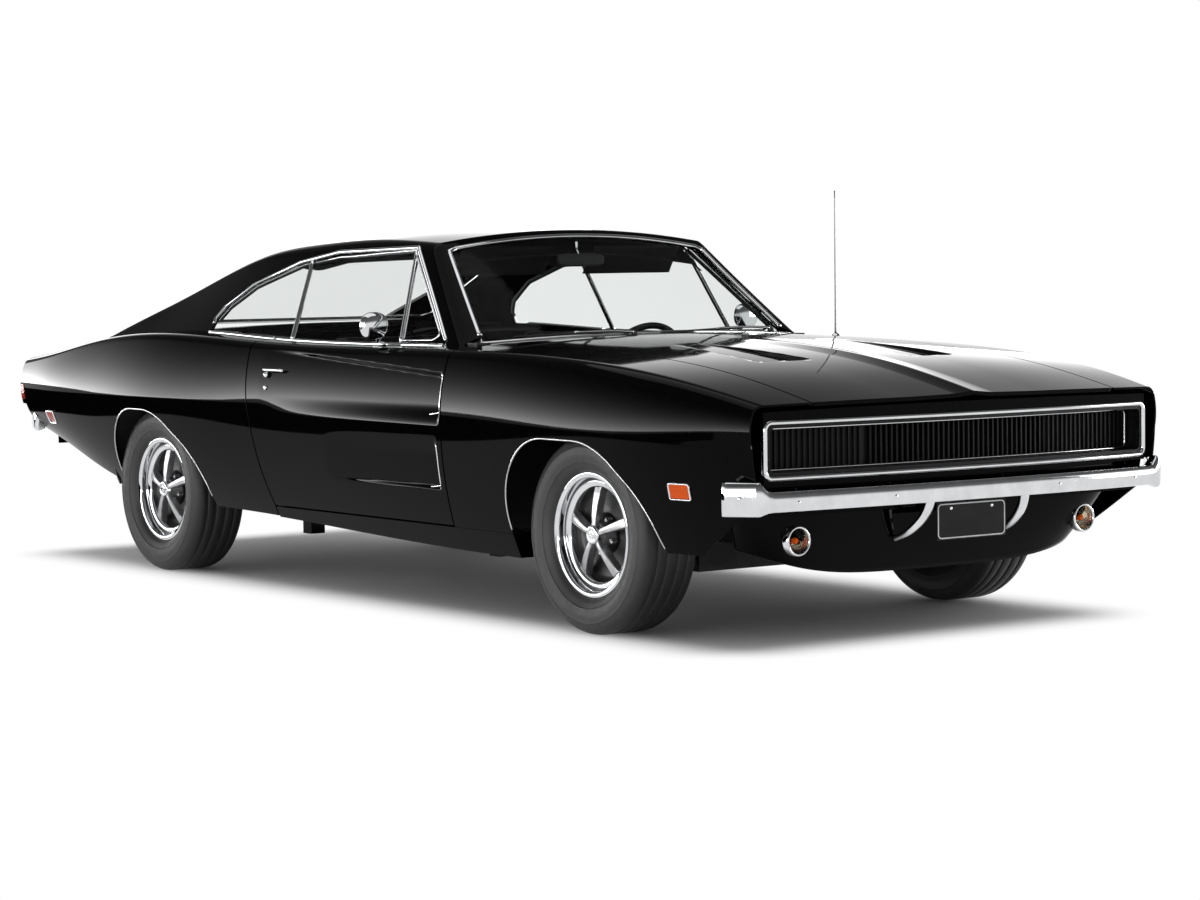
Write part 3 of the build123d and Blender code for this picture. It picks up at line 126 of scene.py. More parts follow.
def arc(a, b, bulge, t):
    """Points on the arc from a to b that bows out by bulge to the right of its chord, and its length."""
    chord = b - a
    length = np.linalg.norm(chord, axis=-1, keepdims=True)
    out = np.stack([chord[..., 1], -chord[..., 0]], -1) / length
    radius = (length**2 / 4 + bulge**2) / (2 * bulge)
    centre = (a + b) / 2 + out * (bulge - radius)
    half = np.arcsin(np.clip(length / 2 / radius, -1, 1))
    angle = (2 * t[..., None] - 1) * half
    along = chord / length
    return centre + radius * (np.sin(angle) * along + np.cos(angle) * out), 2 * half * radius


def unit(v):
    """Vectors scaled to length one."""
    return v / np.maximum(np.linalg.norm(v, axis=-1, keepdims=True), 1e-12)


def hermite(p0, d0, p1, d1, t):
    """A cubic from p0 to p1 that leaves along d0 and arrives along d1."""
    t = t[..., None]
    return ((2 * t**3 - 3 * t**2 + 1) * p0 + (t**3 - 2 * t**2 + t) * d0
            + (-2 * t**3 + 3 * t**2) * p1 + (t**3 - t**2) * d1)


def body_yz(x, s):
    """Half section of the lower body: s is 0 sill, 1 crease, 2 to 3 round shoulder, 4 middle of the top."""
    c = BODY(x)
    sill, crease, shoulder = c[..., 0:2], c[..., 2:4], c[..., 4:6]
    mirrored = shoulder * np.array([-1.0, 1.0])
    one = np.ones_like(x)

    def lower(t):
        return arc(sill, crease, one[..., None] * LOWER_BULGE, t)

    def upper(t):
        return arc(crease, shoulder, one[..., None] * UPPER_BULGE, t)

    def across(t):
        return arc(shoulder, mirrored, (c[..., 6] - shoulder[..., 1])[..., None], t)

    cut = SHOULDER_ROUND * 0.80
    upper_end = 1 - cut / upper(one)[1][..., 0]
    top_start = cut / across(one)[1][..., 0]
    p0, p1 = upper(upper_end)[0], across(top_start)[0]
    d0 = unit(p0 - upper(upper_end - 0.01)[0]) * SHOULDER_ROUND * 1.35
    d1 = unit(across(top_start + 0.002)[0] - p1) * SHOULDER_ROUND * 1.35
    low, high = lower(np.clip(s, 0, 1))[0], upper(np.clip(s - 1, 0, 1) * upper_end)[0]
    round_ = hermite(p0, d0, p1, d1, np.clip(s - 2, 0, 1))
    top = across(top_start + (0.5 - top_start) * np.clip(s - 3, 0, 1))[0]
    k = s[..., None]
    return np.where(k <= 1, low, np.where(k <= 2, high, np.where(k <= 3, round_, top)))


def body_point(x, s):
    """Points of the lower body at x and the section parameter."""
    yz = body_yz(x, s)
    return np.stack([x, yz[..., 0], yz[..., 1]], -1)


def top_z(x, y):
    """Height of the lower body's top at (x, y)."""
    c = BODY(x)
    half, z, crown = c[..., 4], c[..., 5], c[..., 6]
    rise = crown - z
    radius = (half**2 + rise**2) / (2 * rise)
    return crown - radius + np.sqrt(np.maximum(radius**2 - y**2, 0))


def top_height(x, y):
    """The same height at one point, as a plain number."""
    return float(top_z(np.array([x]), np.array([y]))[0])


def roof_yz(x, r):
    """Half section above the belt: r runs 0 belt, 1 to 2 the rounded roof edge, 3 the middle."""
    c = np.where((x <= HEADER_X)[..., None], ROOF(np.minimum(x, HEADER_X)), SCREEN(np.maximum(x, HEADER_X)))
    belt = np.stack([c[..., 0], np.full_like(x, BELT_Z)], -1)
    edge, crown = c[..., 1:3], c[..., 3]
    mirrored = edge * np.array([-1.0, 1.0])

    def across(t):
        return arc(edge, mirrored, (crown - edge[..., 1])[..., None], t)

    side_length = np.linalg.norm(edge - belt, axis=-1)
    cut = 0.62 * np.minimum(ROOF_ROUND, 0.4 * np.maximum(edge[..., 1] - BELT_Z, 0.004))
    start = 1 - cut / side_length
    top_start = cut / across(np.ones_like(x))[1][..., 0]
    side = belt + (edge - belt) * (np.clip(r, 0, 1) * start)[..., None]
    p0, p1 = belt + (edge - belt) * start[..., None], across(top_start)[0]
    pull = (cut * 1.75)[..., None]
    d1 = unit(across(top_start + 0.002)[0] - p1) * pull
    round_ = hermite(p0, unit(edge - belt) * pull, p1, d1, np.clip(r - 1, 0, 1))
    top = across(top_start + (0.5 - top_start) * np.clip(r - 2, 0, 1))[0]
    k = r[..., None]
    return np.where(k <= 1, side, np.where(k <= 2, round_, top))


def roof_point(x, r):
    """Points above the belt at x and the section parameter."""
    yz = roof_yz(x, r)
    return np.stack([x, yz[..., 0], yz[..., 1]], -1)


def solve(f, target, low, high, rising=True):
    """The parameter where f reaches target, by halving."""
    low, high = np.full_like(target, low), np.full_like(target, high)
    for _ in range(40):
        middle = (low + high) / 2
        over = (f(middle) > target) == rising
        high = np.where(over, middle, high)
        low = np.where(over, low, middle)
    return (low + high) / 2


def reached(section, axis, x, value, low, high, rising=True):
    """The parameter at which the section at x reaches a value along an axis."""
    x, value = np.broadcast_arrays(np.asarray(x, float), np.asarray(value, float))
    return solve(lambda s: section(x, s)[..., axis], value, low, high, rising)


def s_at_z(x, z):
    """Body parameter at a height on the side."""
    return reached(body_yz, 1, x, z, 0.0, 2.6)


def s_at_y(x, y):
    """Body parameter at a distance from the middle on the top."""
    return reached(body_yz, 0, x, y, 2.2, 4.0, rising=False)


def r_at_z(x, z):
    """Roof parameter at a height on the side."""
    return reached(roof_yz, 1, x, z, 0.0, 1.8)


def r_at_y(x, y):
    """Roof parameter at a distance from the middle on the top."""
    return reached(roof_yz, 0, x, y, 1.0, 3.0, rising=False)


def nose_x(y):
    """The front edge of the body at a distance from the middle."""
    return NOSE_CENTRE_X - (NOSE_CENTRE_X - NOSE_CORNER_X) * (y / NOSE_CORNER_Y) ** 2


def ticks(*ranges):
    """Grid lines over ranges of start, stop and step."""
    return np.unique(np.round(np.concatenate([np.arange(*r) for r in ranges]), 5))


def rounded(points, radius, step=0.012, close=False):
    """A polyline with its corners rounded, as closely spaced points."""
    p = [Vector(q) for q in points]
    n = len(p)
    out = []
    for i in range(n):
        if not close and i in (0, n - 1):
            out.append(p[i])
            continue
        a, b, c = p[i - 1], p[i], p[(i + 1) % n]
        u, v = (a - b).normalized(), (c - b).normalized()
        half = math.acos(max(-1, min(1, u.dot(v)))) / 2
        d = min(radius / math.tan(half), 0.49 * (a - b).length, 0.49 * (c - b).length)
        r = d * math.tan(half)
        start, end = b + u * d, b + v * d
        centre = b + (u + v).normalized() * (r / math.sin(half))
        turn = math.pi - 2 * half
        count = max(2, int(r * turn / step) + 1)
        for k in range(count + 1):
            t = k / count
            q = start.lerp(end, t) - centre
            out.append(centre + q.normalized() * r)
    return np.array([tuple(q) for q in out])


def spaced(points, step):
    """The same polyline with points at most step apart."""
    points = np.asarray(points, float)
    out = [points[:1]]
    for a, b in zip(points[:-1], points[1:]):
        n = max(1, int(np.ceil(np.linalg.norm(b - a) / step)))
        out.append(a + (b - a) * (np.arange(1, n + 1) / n)[:, None])
    return np.concatenate(out)


def closed_line(corners, radius, turn_step, step):
    """A closed polyline with rounded corners and even spacing."""
    line = rounded(corners, radius, step=turn_step, close=True)
    return spaced(np.vstack([line, line[:1]]), step)[:-1]


S_LENGTH = np.array([0.0, 0.46, 0.68, 0.73, 1.60])
R_LENGTH = np.array([0.0, 0.42, 0.50, 1.08])


def to_length(s, table):
    """Girth at a section parameter."""
    return np.interp(s, np.arange(len(table)), table)


def from_length(t, table):
    """Section parameter at a girth."""
    return np.interp(t, table, np.arange(len(table)))


def new_object(name, verts, faces, material, normals=None, smooth=True):
    """A mesh object in the scene."""
    mesh = bpy.data.meshes.new(name)
    mesh.from_pydata([tuple(v) for v in verts], [], [tuple(f) for f in faces])
    mesh.validate()
    if smooth:
        mesh.shade_smooth()
    if normals is not None:
        mesh.normals_split_custom_set_from_vertices([tuple(n) for n in normals])
    obj = bpy.data.objects.new(name, mesh)
    bpy.context.scene.collection.objects.link(obj)
    if material is not None:
        mesh.materials.append(material)
    return obj


def triangulate(loop, holes, grid):
    """Triangles inside a closed loop with holes, on the loop's own points and the grid points inside it."""
    points, edges = [], []
    for ring in [loop, *holes]:
        first = len(points)
        points += [Vector(p) for p in ring]
        edges += [(first + i, first + (i + 1) % len(ring)) for i in range(len(ring))]

    def inside(q, ring):
        x, y = q[:, 0], q[:, 1]
        hit = np.zeros(len(q), bool)
        a = np.asarray(ring)
        for (x0, y0), (x1, y1) in zip(a, np.roll(a, -1, 0)):
            cross = (y0 > y) != (y1 > y)
            with np.errstate(divide="ignore", invalid="ignore"):
                hit ^= cross & (x < (x1 - x0) * (y - y0) / (y1 - y0) + x0)
        return hit

    def near(q, ring, reach):
        close = np.zeros(len(q), bool)
        a = np.asarray(ring)
        for p0, p1 in zip(a, np.roll(a, -1, 0)):
            d = p1 - p0
            t = np.clip(((q - p0) @ d) / max(d @ d, 1e-12), 0, 1)
            close |= np.linalg.norm(q - p0 - t[:, None] * d, axis=1) < reach
        return close

    keep = inside(grid, loop) & ~near(grid, loop, 0.004)
    for hole in holes:
        keep &= ~inside(grid, hole) & ~near(grid, hole, 0.004)
    points += [Vector(p) for p in grid[keep]]
    verts, _, faces, _, _, _ = delaunay_2d_cdt(points, edges, [], 1, 1e-6)
    uv = np.array([tuple(v) for v in verts])
    faces = np.array(faces)
    middle = uv[faces].mean(1)
    ok = inside(middle, loop)
    for hole in holes:
        ok &= ~inside(middle, hole)
    faces = faces[ok]
    p = uv[faces]
    e1, e2 = p[:, 1] - p[:, 0], p[:, 2] - p[:, 0]
    area = e1[:, 0] * e2[:, 1] - e1[:, 1] * e2[:, 0]
    faces[area < 0] = faces[area < 0][:, ::-1]
    return uv, faces[np.abs(area) > 1e-10]


def panel(name, point, loop, holes, lines, material, thickness, flip=False, step=(2e-3, 6e-3)):
    """A sheet over a surface point(u, v), with a rounded rim and a back; lines are its grid's u and v."""
    edge = 0.0015
    gu, gv = np.meshgrid(*lines, indexing="ij")
    uv, faces = triangulate(loop, holes, np.stack([gu.ravel(), gv.ravel()], -1))

    def surface(q):
        p = point(q[:, 0], q[:, 1])
        du = point(q[:, 0] + step[0], q[:, 1]) - point(q[:, 0] - step[0], q[:, 1])
        dv = point(q[:, 0], q[:, 1] + step[1]) - point(q[:, 0], q[:, 1] - step[1])
        n = unit(np.cross(du, dv))
        return p, (-n if flip else n)

    p, n = surface(uv)
    if flip:
        faces = faces[:, ::-1]
    count = len(p)
    half_edges = {}
    for f in faces:
        for a, b in ((f[0], f[1]), (f[1], f[2]), (f[2], f[0])):
            half_edges[(a, b)] = True
    rim = [(a, b) for a, b in half_edges if (b, a) not in half_edges]
    follow = dict(rim)
    out = np.zeros((count, 3))
    for a, b in rim:
        side = np.cross(p[b] - p[a], n[a])
        side /= max(np.linalg.norm(side), 1e-12)
        out[a] += side
        out[b] += side
    border = sorted(follow)
    length = np.linalg.norm(out[border], axis=1, keepdims=True)
    out[border] /= np.maximum(length, 1e-9)
    where = {v: i for i, v in enumerate(border)}
    pb, nb, ob = p[border], n[border], out[border]
    ring1 = pb - nb * edge
    ring0 = pb - ob * edge
    p = p.copy()
    p[border] = ring0
    back = p - n * thickness
    ring2 = pb - nb * (thickness - edge)
    verts = np.concatenate([p, ring1, ring2, back])
    normals = np.concatenate([n, ob, ob, -n])
    base1, base2, base3 = count, count + len(border), count + 2 * len(border)
    all_faces = [tuple(f) for f in faces]
    all_faces += [tuple(base3 + i for i in f[::-1]) for f in faces]
    for a, b in rim:
        i, j = where[a], where[b]
        all_faces.append((b, a, base1 + i, base1 + j))
        all_faces.append((base1 + j, base1 + i, base2 + i, base2 + j))
        all_faces.append((base2 + j, base2 + i, base3 + a, base3 + b))
    return new_object(name, verts, all_faces, material, normals)


# Materials


def nodes_of(name):
    """A new material with its node tree and its principled shader."""
    material = bpy.data.materials.new(name)
    material.use_nodes = True
    tree = material.node_tree
    return material, tree, tree.nodes["Principled BSDF"]


def noise(tree, scale, detail=3.0, stretch=None):
    """A noise texture on object coordinates, optionally stretched along the axes."""
    coords = tree.nodes.new("ShaderNodeTexCoord")
    texture = tree.nodes.new("ShaderNodeTexNoise")
    texture.inputs["Scale"].default_value = scale
    texture.inputs["Detail"].default_value = detail
    source = coords.outputs["Object"]
    if stretch is not None:
        mapping = tree.nodes.new("ShaderNodeMapping")
        mapping.inputs["Scale"].default_value = stretch
        tree.links.new(source, mapping.inputs["Vector"])
        source = mapping.outputs["Vector"]
    tree.links.new(source, texture.inputs["Vector"])
    return texture.outputs["Fac"]


def ramp(tree, factor, stops):
    """A colour ramp over a factor; stops are position and colour or grey."""
    node = tree.nodes.new("ShaderNodeValToRGB")
    elements = node.color_ramp.elements
    while len(elements) < len(stops):
        elements.new(0.5)
    for element, (position, colour) in zip(elements, stops):
        element.position = position
        element.color = (*colour, 1) if isinstance(colour, tuple) else (colour, colour, colour, 1)
    tree.links.new(factor, node.inputs["Fac"])
    return node.outputs["Color"]


def bump(tree, shader, height, strength, distance):
    """Fine relief from a height, in the shader."""
    node = tree.nodes.new("ShaderNodeBump")
    node.inputs["Strength"].default_value = strength
    node.inputs["Distance"].default_value = distance
    tree.links.new(height, node.inputs["Height"])
    tree.links.new(node.outputs["Normal"], shader.inputs["Normal"])


def surface(name, low, high, scale, rough, metallic=0.0, bumps=None, stretch=None, **sockets):
    """Colour from low to high and roughness over rough by noise; bumps is scale, strength and depth."""
    material, tree, shader = nodes_of(name)
    shader.inputs["Metallic"].default_value = metallic
    for socket, value in sockets.items():
        shader.inputs[socket.replace("_", " ")].default_value = value
    factor = noise(tree, scale, stretch=stretch)
    tree.links.new(ramp(tree, factor, [(0.3, low), (0.7, high)]), shader.inputs["Base Color"])
    tree.links.new(ramp(tree, factor, [(0.3, rough[0]), (0.7, rough[1])]), shader.inputs["Roughness"])
    if bumps is not None:
        bump(tree, shader, noise(tree, bumps[0], 4.0), bumps[1], bumps[2])
    return material


# Refractive indices, lower than the real ones, set together with the reflection cards below
PAINT_IOR, GLASS_IOR, LENS_IOR, GRILLE_IOR = 1.12, 1.08, 1.22, 1.25
PAINT = surface("paint_gloss_black", (0.0010, 0.0010, 0.0012), (0.0019, 0.0019, 0.0022), 60, (0.035, 0.05),
                bumps=(220, 0.012, 0.0004), IOR=PAINT_IOR)
CHROME = surface("chrome_polished", (0.62, 0.63, 0.645), (0.72, 0.73, 0.745), 14, (0.035, 0.075), 1.0,
                 (90, 0.02, 0.0006))
BRIGHT = surface("stainless_trim", (0.70, 0.71, 0.72), (0.80, 0.81, 0.82), 30, (0.10, 0.18), 1.0,
                 (160, 0.03, 0.0003), stretch=(1, 1, 6))
SATIN = surface("wheel_satin_metal", (0.36, 0.36, 0.37), (0.45, 0.45, 0.46), 40, (0.30, 0.40), 1.0,
                (300, 0.05, 0.0003))
WHEEL_BLACK = surface("wheel_black", (0.006, 0.006, 0.007), (0.012, 0.012, 0.013), 80, (0.32, 0.45), 0.0,
                      (240, 0.08, 0.0003))
RUBBER = surface("tyre_rubber", (0.0055, 0.0055, 0.006), (0.011, 0.011, 0.0115), 45, (0.50, 0.66), 0.0,
                 (420, 0.22, 0.0005))
SEAL = surface("rubber_seal", 0.006, 0.011, 70, (0.5, 0.65), 0.0, (300, 0.15, 0.0003))
UNDER = surface("underbody_black", 0.008, (0.020, 0.019, 0.018), 9, (0.55, 0.8), 0.0, (120, 0.3, 0.001))
TRIM = surface("cabin_plastic", (0.010, 0.010, 0.011), (0.018, 0.018, 0.019), 30, (0.42, 0.55), 0.0,
               (700, 0.25, 0.0004))
VINYL = surface("seat_vinyl", (0.011, 0.011, 0.012), (0.022, 0.021, 0.021), 16, (0.36, 0.5), 0.0,
                (520, 0.35, 0.0006))
LINING = surface("headliner_cloth", 0.006, 0.012, 300, (0.8, 0.9), 0.0, (900, 0.4, 0.0006))
CARPET = surface("carpet", (0.012, 0.012, 0.013), (0.030, 0.030, 0.031), 400, (0.85, 0.95), 0.0,
                 (900, 0.8, 0.002))
IRON = surface("cast_iron", (0.030, 0.030, 0.031), (0.065, 0.062, 0.060), 22, (0.5, 0.75), 0.6,
               (200, 0.3, 0.0008))
STEEL = surface("bare_steel", 0.28, 0.40, 25, (0.3, 0.45), 1.0, (260, 0.1, 0.0004))
GRILLE = surface("grille_black", 0.0025, (0.005, 0.005, 0.0055), 60, (0.42, 0.55), 0.0, (200, 0.1, 0.0003),
                 IOR=GRILLE_IOR)
PLATE = surface("plate_black", (0.003, 0.003, 0.0035), (0.006, 0.006, 0.0065), 20, (0.28, 0.4), 0.0,
                (150, 0.05, 0.0004), IOR=GRILLE_IOR)
LIP = surface("arch_lip_metal", (0.40, 0.40, 0.41), (0.50, 0.50, 0.51), 30, (0.16, 0.24), 1.0,
              (160, 0.03, 0.0003))
REFLECTOR = surface("lamp_reflector", (0.62, 0.50, 0.36), (0.78, 0.66, 0.50), 60, (0.22, 0.32), 1.0,
                    (400, 0.1, 0.0004))
MAST = surface("antenna_steel", 0.10, 0.16, 60, (0.25, 0.35), 1.0, (300, 0.05, 0.0002))
PALE = surface("pale_enamel", (0.62, 0.63, 0.63), (0.74, 0.75, 0.75), 40, (0.3, 0.4))


def lens(name, low, high, clear):
    """A moulded lens: coloured plastic with fine upright flutes."""
    material, tree, shader = nodes_of(name)
    shader.inputs["Roughness"].default_value = 0.08
    shader.inputs["IOR"].default_value = LENS_IOR
    shader.inputs["Transmission Weight"].default_value = clear
    coords = tree.nodes.new("ShaderNodeTexCoord")
    wave = tree.nodes.new("ShaderNodeTexWave")
    wave.bands_direction = "Z"
    wave.inputs["Scale"].default_value = 55
    wave.inputs["Distortion"].default_value = 0.0
    tree.links.new(coords.outputs["Object"], wave.inputs["Vector"])
    tree.links.new(ramp(tree, wave.outputs["Fac"], [(0.2, low), (0.8, high)]), shader.inputs["Base Color"])
    bump(tree, shader, wave.outputs["Fac"], 0.35, 0.001)
    return material


RED_LENS = lens("red_lens", (0.42, 0.012, 0.008), (0.60, 0.03, 0.02), 0.10)
AMBER_LENS = lens("amber_lens", (0.86, 0.090, 0.004), (1.0, 0.15, 0.008), 0.05)
CLEAR_LENS = lens("clear_lens", (0.82, 0.80, 0.76), (0.95, 0.94, 0.92), 0.65)


def glass(name, tint, rough):
    """Flat car glass: a clear sheet with a faint tint and an even gloss, slightly marked by wiping."""
    material, tree, shader = nodes_of(name)
    shader.inputs["Base Color"].default_value = (*tint, 1)
    shader.inputs["IOR"].default_value = GLASS_IOR
    shader.inputs["Transmission Weight"].default_value = 1.0
    tree.links.new(ramp(tree, noise(tree, 6, 5.0), [(0.35, rough[0]), (0.75, rough[1])]),
                   shader.inputs["Roughness"])
    return material


GLASS = glass("window_glass", (0.90, 0.915, 0.91), (0.0, 0.012))

CAD_FINISHES = (
    (PAINT, "cowl front_valance nose_panel rear_deck sills tail_panel fenders quarter_panels roof hood"),
    (PAINT, "trunk_lid door_left door_right"),
    (CHROME, "antenna front_bumper rear_bumper door_fittings_left door_fittings_right"),
    (UNDER, "aprons firewall front_suspension fuel_tank leaf_springs rear_axle rear_wheelhouses"),
    (TRIM, "cabin_mirror dashboard steering_wheel"),
    (GLASS, "door_glass_left door_glass_right quarter_windows rear_window windshield"),
    (IRON, "engine knuckle_left knuckle_right"),
    (STEEL, "exhaust"),
    (CARPET, "floor_pan"),
    (AMBER_LENS, "front_markers"),
    (RED_LENS, "rear_markers tail_lamps"),
    (CLEAR_LENS, "turn_lamps"),
    (GRILLE, "grille headlamp_doors"),
    (PLATE, "number_plate"),
    (BRIGHT, "wipers"),
    (VINYL, "front_seats rear_seat"),
    (RUBBER, "tyre_front_left tyre_front_right tyre_rear_left tyre_rear_right"),
    (SATIN, "wheel_front_left wheel_front_right wheel_rear_left wheel_rear_right"),
)
for material, names in CAD_FINISHES:
    for node in names.split():
        NODES[node].data.materials.clear()
        NODES[node].data.materials.append(material)


def place(piece, body, slot, *nodes):
    """Puts a piece on a body in place of some of the solids; slot is not used."""
    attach(piece, body)
    if nodes:
        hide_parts(*nodes)
    return piece


# Painted panels over the body's own surface


def step_smooth(x, low, high):
    """A soft step from 0 at low to 1 at high."""
    t = np.clip((x - low) / (high - low), 0, 1)
    return t * t * (3 - 2 * t)


def door_hollow(x, z):
    """How far the two pressed hollows of a door go in at a point of its side."""
    fade = np.clip((x + 0.36) / 1.24, 0, 1)
    crest = 0.856 + (0.900 - x) * (0.078 / 1.339)
    high = 0.022 * fade * step_smooth(x, 0.906, 0.878) * step_smooth(z, crest + 0.003, crest - 0.014)
    high = high * step_smooth(z, 0.672, 0.745)
    low_fade = np.clip((x - 0.10) / 0.75, 0, 1)
    foot = 0.452
    low = 0.013 * low_fade * step_smooth(x, 0.882, 0.856) * step_smooth(z, foot - 0.006, foot + 0.010)
    low = low * step_smooth(z, 0.640, 0.560)
    return high + low


def side_surface(side, hollow=None):
    """The body's side and top edge on one side of the car, over x and girth."""
    def point(x, t):
        p = body_point(x, from_length(t, S_LENGTH))
        if hollow is not None:
            p[..., 1] -= hollow(x, p[..., 2])
        p[..., 1] = (p[..., 1] - SKIN_INSET) * side
        return p
    return point


def along_side(points):
    """Points of a side-view line, in metres, as x and girth on the body's side."""
    points = np.asarray(points, float)
    return np.stack([points[:, 0], to_length(s_at_z(points[:, 0], points[:, 1]), S_LENGTH)], -1)


def up_to(x, z, y, step=0.012):
    """A line up the side from a height to a distance from the middle; x is a function of height."""
    foot = s_at_z(np.array([x(z)]), np.array([z]))[0]
    head = s_at_y(np.array([x(0.95)]), np.array([y]))[0]
    t = np.arange(to_length(foot, S_LENGTH), to_length(head, S_LENGTH), step)
    t = np.append(t, to_length(head, S_LENGTH))
    at = np.full_like(t, x(z))
    for _ in range(6):
        height = body_yz(at, from_length(t, S_LENGTH))[..., 1]
        at = np.array([x(h) for h in height])
    return np.stack([at, t], -1)


def along_top(x0, x1, y, step=0.02):
    """A line along the top at a distance from the middle, as x and girth."""
    x = np.linspace(x0, x1, max(2, int(abs(x1 - x0) / step)))
    return np.stack([x, to_length(s_at_y(x, np.full_like(x, y)), S_LENGTH)], -1)


BODY_GIRTHS = ticks((0.0, 0.44, 0.022), (0.44, 0.482, 0.006), (0.49, 0.68, 0.014), (0.68, 0.735, 0.0062),
                    (0.74, 1.6, 0.03))


def body_lines(x0, x1, step=0.022):
    """Grid lines over a length of the side."""
    return np.arange(x0 + step / 2, x1, step), BODY_GIRTHS


def door_rear_x(offset):
    """The door's rear edge as a function of height, moved by an offset."""
    rows = sorted((z * MM, x * MM + offset) for x, z in DOOR_REAR)
    zs, xs = zip(*rows)
    return lambda z: float(np.interp(z, zs, xs))


def nose_edge(z_low, y_high):
    """The front edge of a fender from a height up to its inner top edge."""
    x = 2.56
    foot = to_length(s_at_z(np.array([x]), np.array([z_low]))[0], S_LENGTH)
    head = to_length(s_at_y(np.array([x]), np.array([y_high]))[0], S_LENGTH)
    t = np.append(np.arange(foot, head, 0.01), head)
    at = np.full_like(t, x)
    for _ in range(6):
        at = nose_x(body_yz(at, from_length(t, S_LENGTH))[..., 0])
    return np.stack([at, t], -1)


FENDER_FOOT_Z, BUMPER_NOTCH = 0.316, (2.489, 0.446, 0.545)
front_arch = rounded([(x * MM, z * MM) for x, z in FRONT_ARCH], ARCH_ROUND)
rear_arch = rounded([(x * MM, z * MM) for x, z in REAR_ARCH], ARCH_ROUND)


def above(line, z_front, z_rear):
    """The part of an arch line above the panel's lower edges at its two ends, cut exactly there."""
    line = spaced(line, 0.012)
    high = np.argmax(line[:, 1])
    out = []
    for part, level in ((line[:high + 1], z_front), (line[high:][::-1], z_rear)):
        k = np.argmax(part[:, 1] > level)
        a, b = part[k - 1], part[k]
        cut = a + (b - a) * (level - a[1]) / (b[1] - a[1])
        out.append(np.vstack([cut, part[k:]]))
    return np.vstack([out[0], out[1][::-1][1:]])


def fender(side, hand):
    """A front fender, notched at the bumper."""
    low_z, chin_x = 0.305, 2.270
    arch = above(front_arch, FENDER_FOOT_Z, low_z)
    notch_x, notch_low, notch_high = BUMPER_NOTCH
    front_high = nose_edge(notch_high, HOOD_SEAM_Y + GAP / 2)
    lower = along_side(spaced([(arch[-1][0], low_z), (chin_x, low_z), (notch_x, notch_low)], 0.02))
    notch = along_side(spaced([(notch_x, notch_low), (notch_x, notch_high), (front_high[0][0], notch_high)],
                              0.015))
    rear = up_to(lambda z: DOOR_FRONT_X + GAP, FENDER_FOOT_Z, HOOD_SEAM_Y + GAP / 2)
    top = along_top(front_high[-1][0], DOOR_FRONT_X + GAP, HOOD_SEAM_Y + GAP / 2)
    sill = along_side(spaced([(DOOR_FRONT_X + GAP, FENDER_FOOT_Z), (arch[0][0], FENDER_FOOT_Z)], 0.02))
    loop = np.vstack([sill[:-1], along_side(arch)[:-1], lower[:-1], notch[:-1], front_high[:-1], top[:-1],
                      rear[::-1][:-1]])
    return panel(f"fender_{hand}", side_surface(side), loop, [], body_lines(0.91, 2.6), PAINT, 0.008,
                 side > 0)


def door(side, hand):
    """The outer skin of a door, with its pressed hollows."""
    rear_x = door_rear_x(0.0)
    front = up_to(lambda z: DOOR_FRONT_X, DOOR_BOTTOM_Z, CABIN_HALF)
    rear = up_to(rear_x, DOOR_BOTTOM_Z, CABIN_HALF)
    foot = along_side(spaced([(rear[0][0], DOOR_BOTTOM_Z), (DOOR_FRONT_X, DOOR_BOTTOM_Z)], 0.02))
    top = along_top(front[-1][0], rear[-1][0], CABIN_HALF)
    loop = np.vstack([foot[:-1], front[:-1], top[:-1], rear[::-1][:-1]])
    u = ticks((-0.5, 0.84, 0.02), (0.84, 0.906, 0.004))
    v = ticks((0.0, 0.73, 0.007), (0.74, 1.0, 0.02))
    skin = side_surface(side, door_hollow)
    return panel(f"door_skin_{hand}", skin, loop, [], (u, v), PAINT, 0.008, side > 0, (2e-3, 3e-3))


def quarter(side, hand):
    """A quarter panel up to the shelf under the rear window and the lid."""
    rear_x = door_rear_x(-GAP)
    notch_x, notch_z, shelf_x, end_x = -2.572, 0.646, -1.150, -2.618

    def sill_z(x):
        return float(BODY(np.array([x]))[0][1])

    arch = above(rear_arch, sill_z(-1.62) + 0.004, sill_z(-0.85) + 0.004)
    front = up_to(rear_x, sill_z(-0.35) + 0.004, CABIN_HALF)
    foot_front = np.array([(x, 0.004) for x in np.arange(arch[-1][0], front[0][0], 0.03)])
    top = np.vstack([along_top(front[-1][0], shelf_x, CABIN_HALF), along_top(shelf_x, end_x, SAIL_Y)])
    rear = up_to(lambda z: end_x, notch_z, SAIL_Y)[::-1]
    notch = along_side(spaced([(end_x, notch_z), (notch_x, notch_z), (notch_x, sill_z(notch_x) + 0.006)],
                              0.015))
    foot_rear = np.array([(x, 0.004) for x in np.arange(notch_x, arch[0][0], 0.03)])
    loop = np.vstack([foot_rear, along_side(arch), foot_front[1:], front[:-1], top[:-1], rear[:-1],
                      notch[:-1]])
    lines = body_lines(-2.62, -0.34)
    return panel(f"quarter_{hand}", side_surface(side), loop, [], lines, PAINT, 0.012, side > 0)


def top_surface(depth=None):
    """The top of the body over x and y, lowered by a depth."""
    def point(x, y):
        z = top_z(x, y)
        if depth is not None:
            z = z - depth(x, y)
        return np.stack([x, y, z], -1)
    return point


def hood_scoops(x, y):
    """Depth of the two long hollows in the hood: a wall at the front, running out rearward."""
    a = np.abs(y)
    run = np.clip((x - 1.480) / 0.560, 0, 1)
    low, high = 0.225 + 0.050 * (1 - run), 0.440 - 0.060 * (1 - run)
    wall = step_smooth(a, low - 0.006, low + 0.016) * step_smooth(a, high + 0.006, high - 0.030)
    return 0.017 * run * wall * step_smooth(x, 2.062 - 0.10 * (a - low), 2.036 - 0.10 * (a - low))


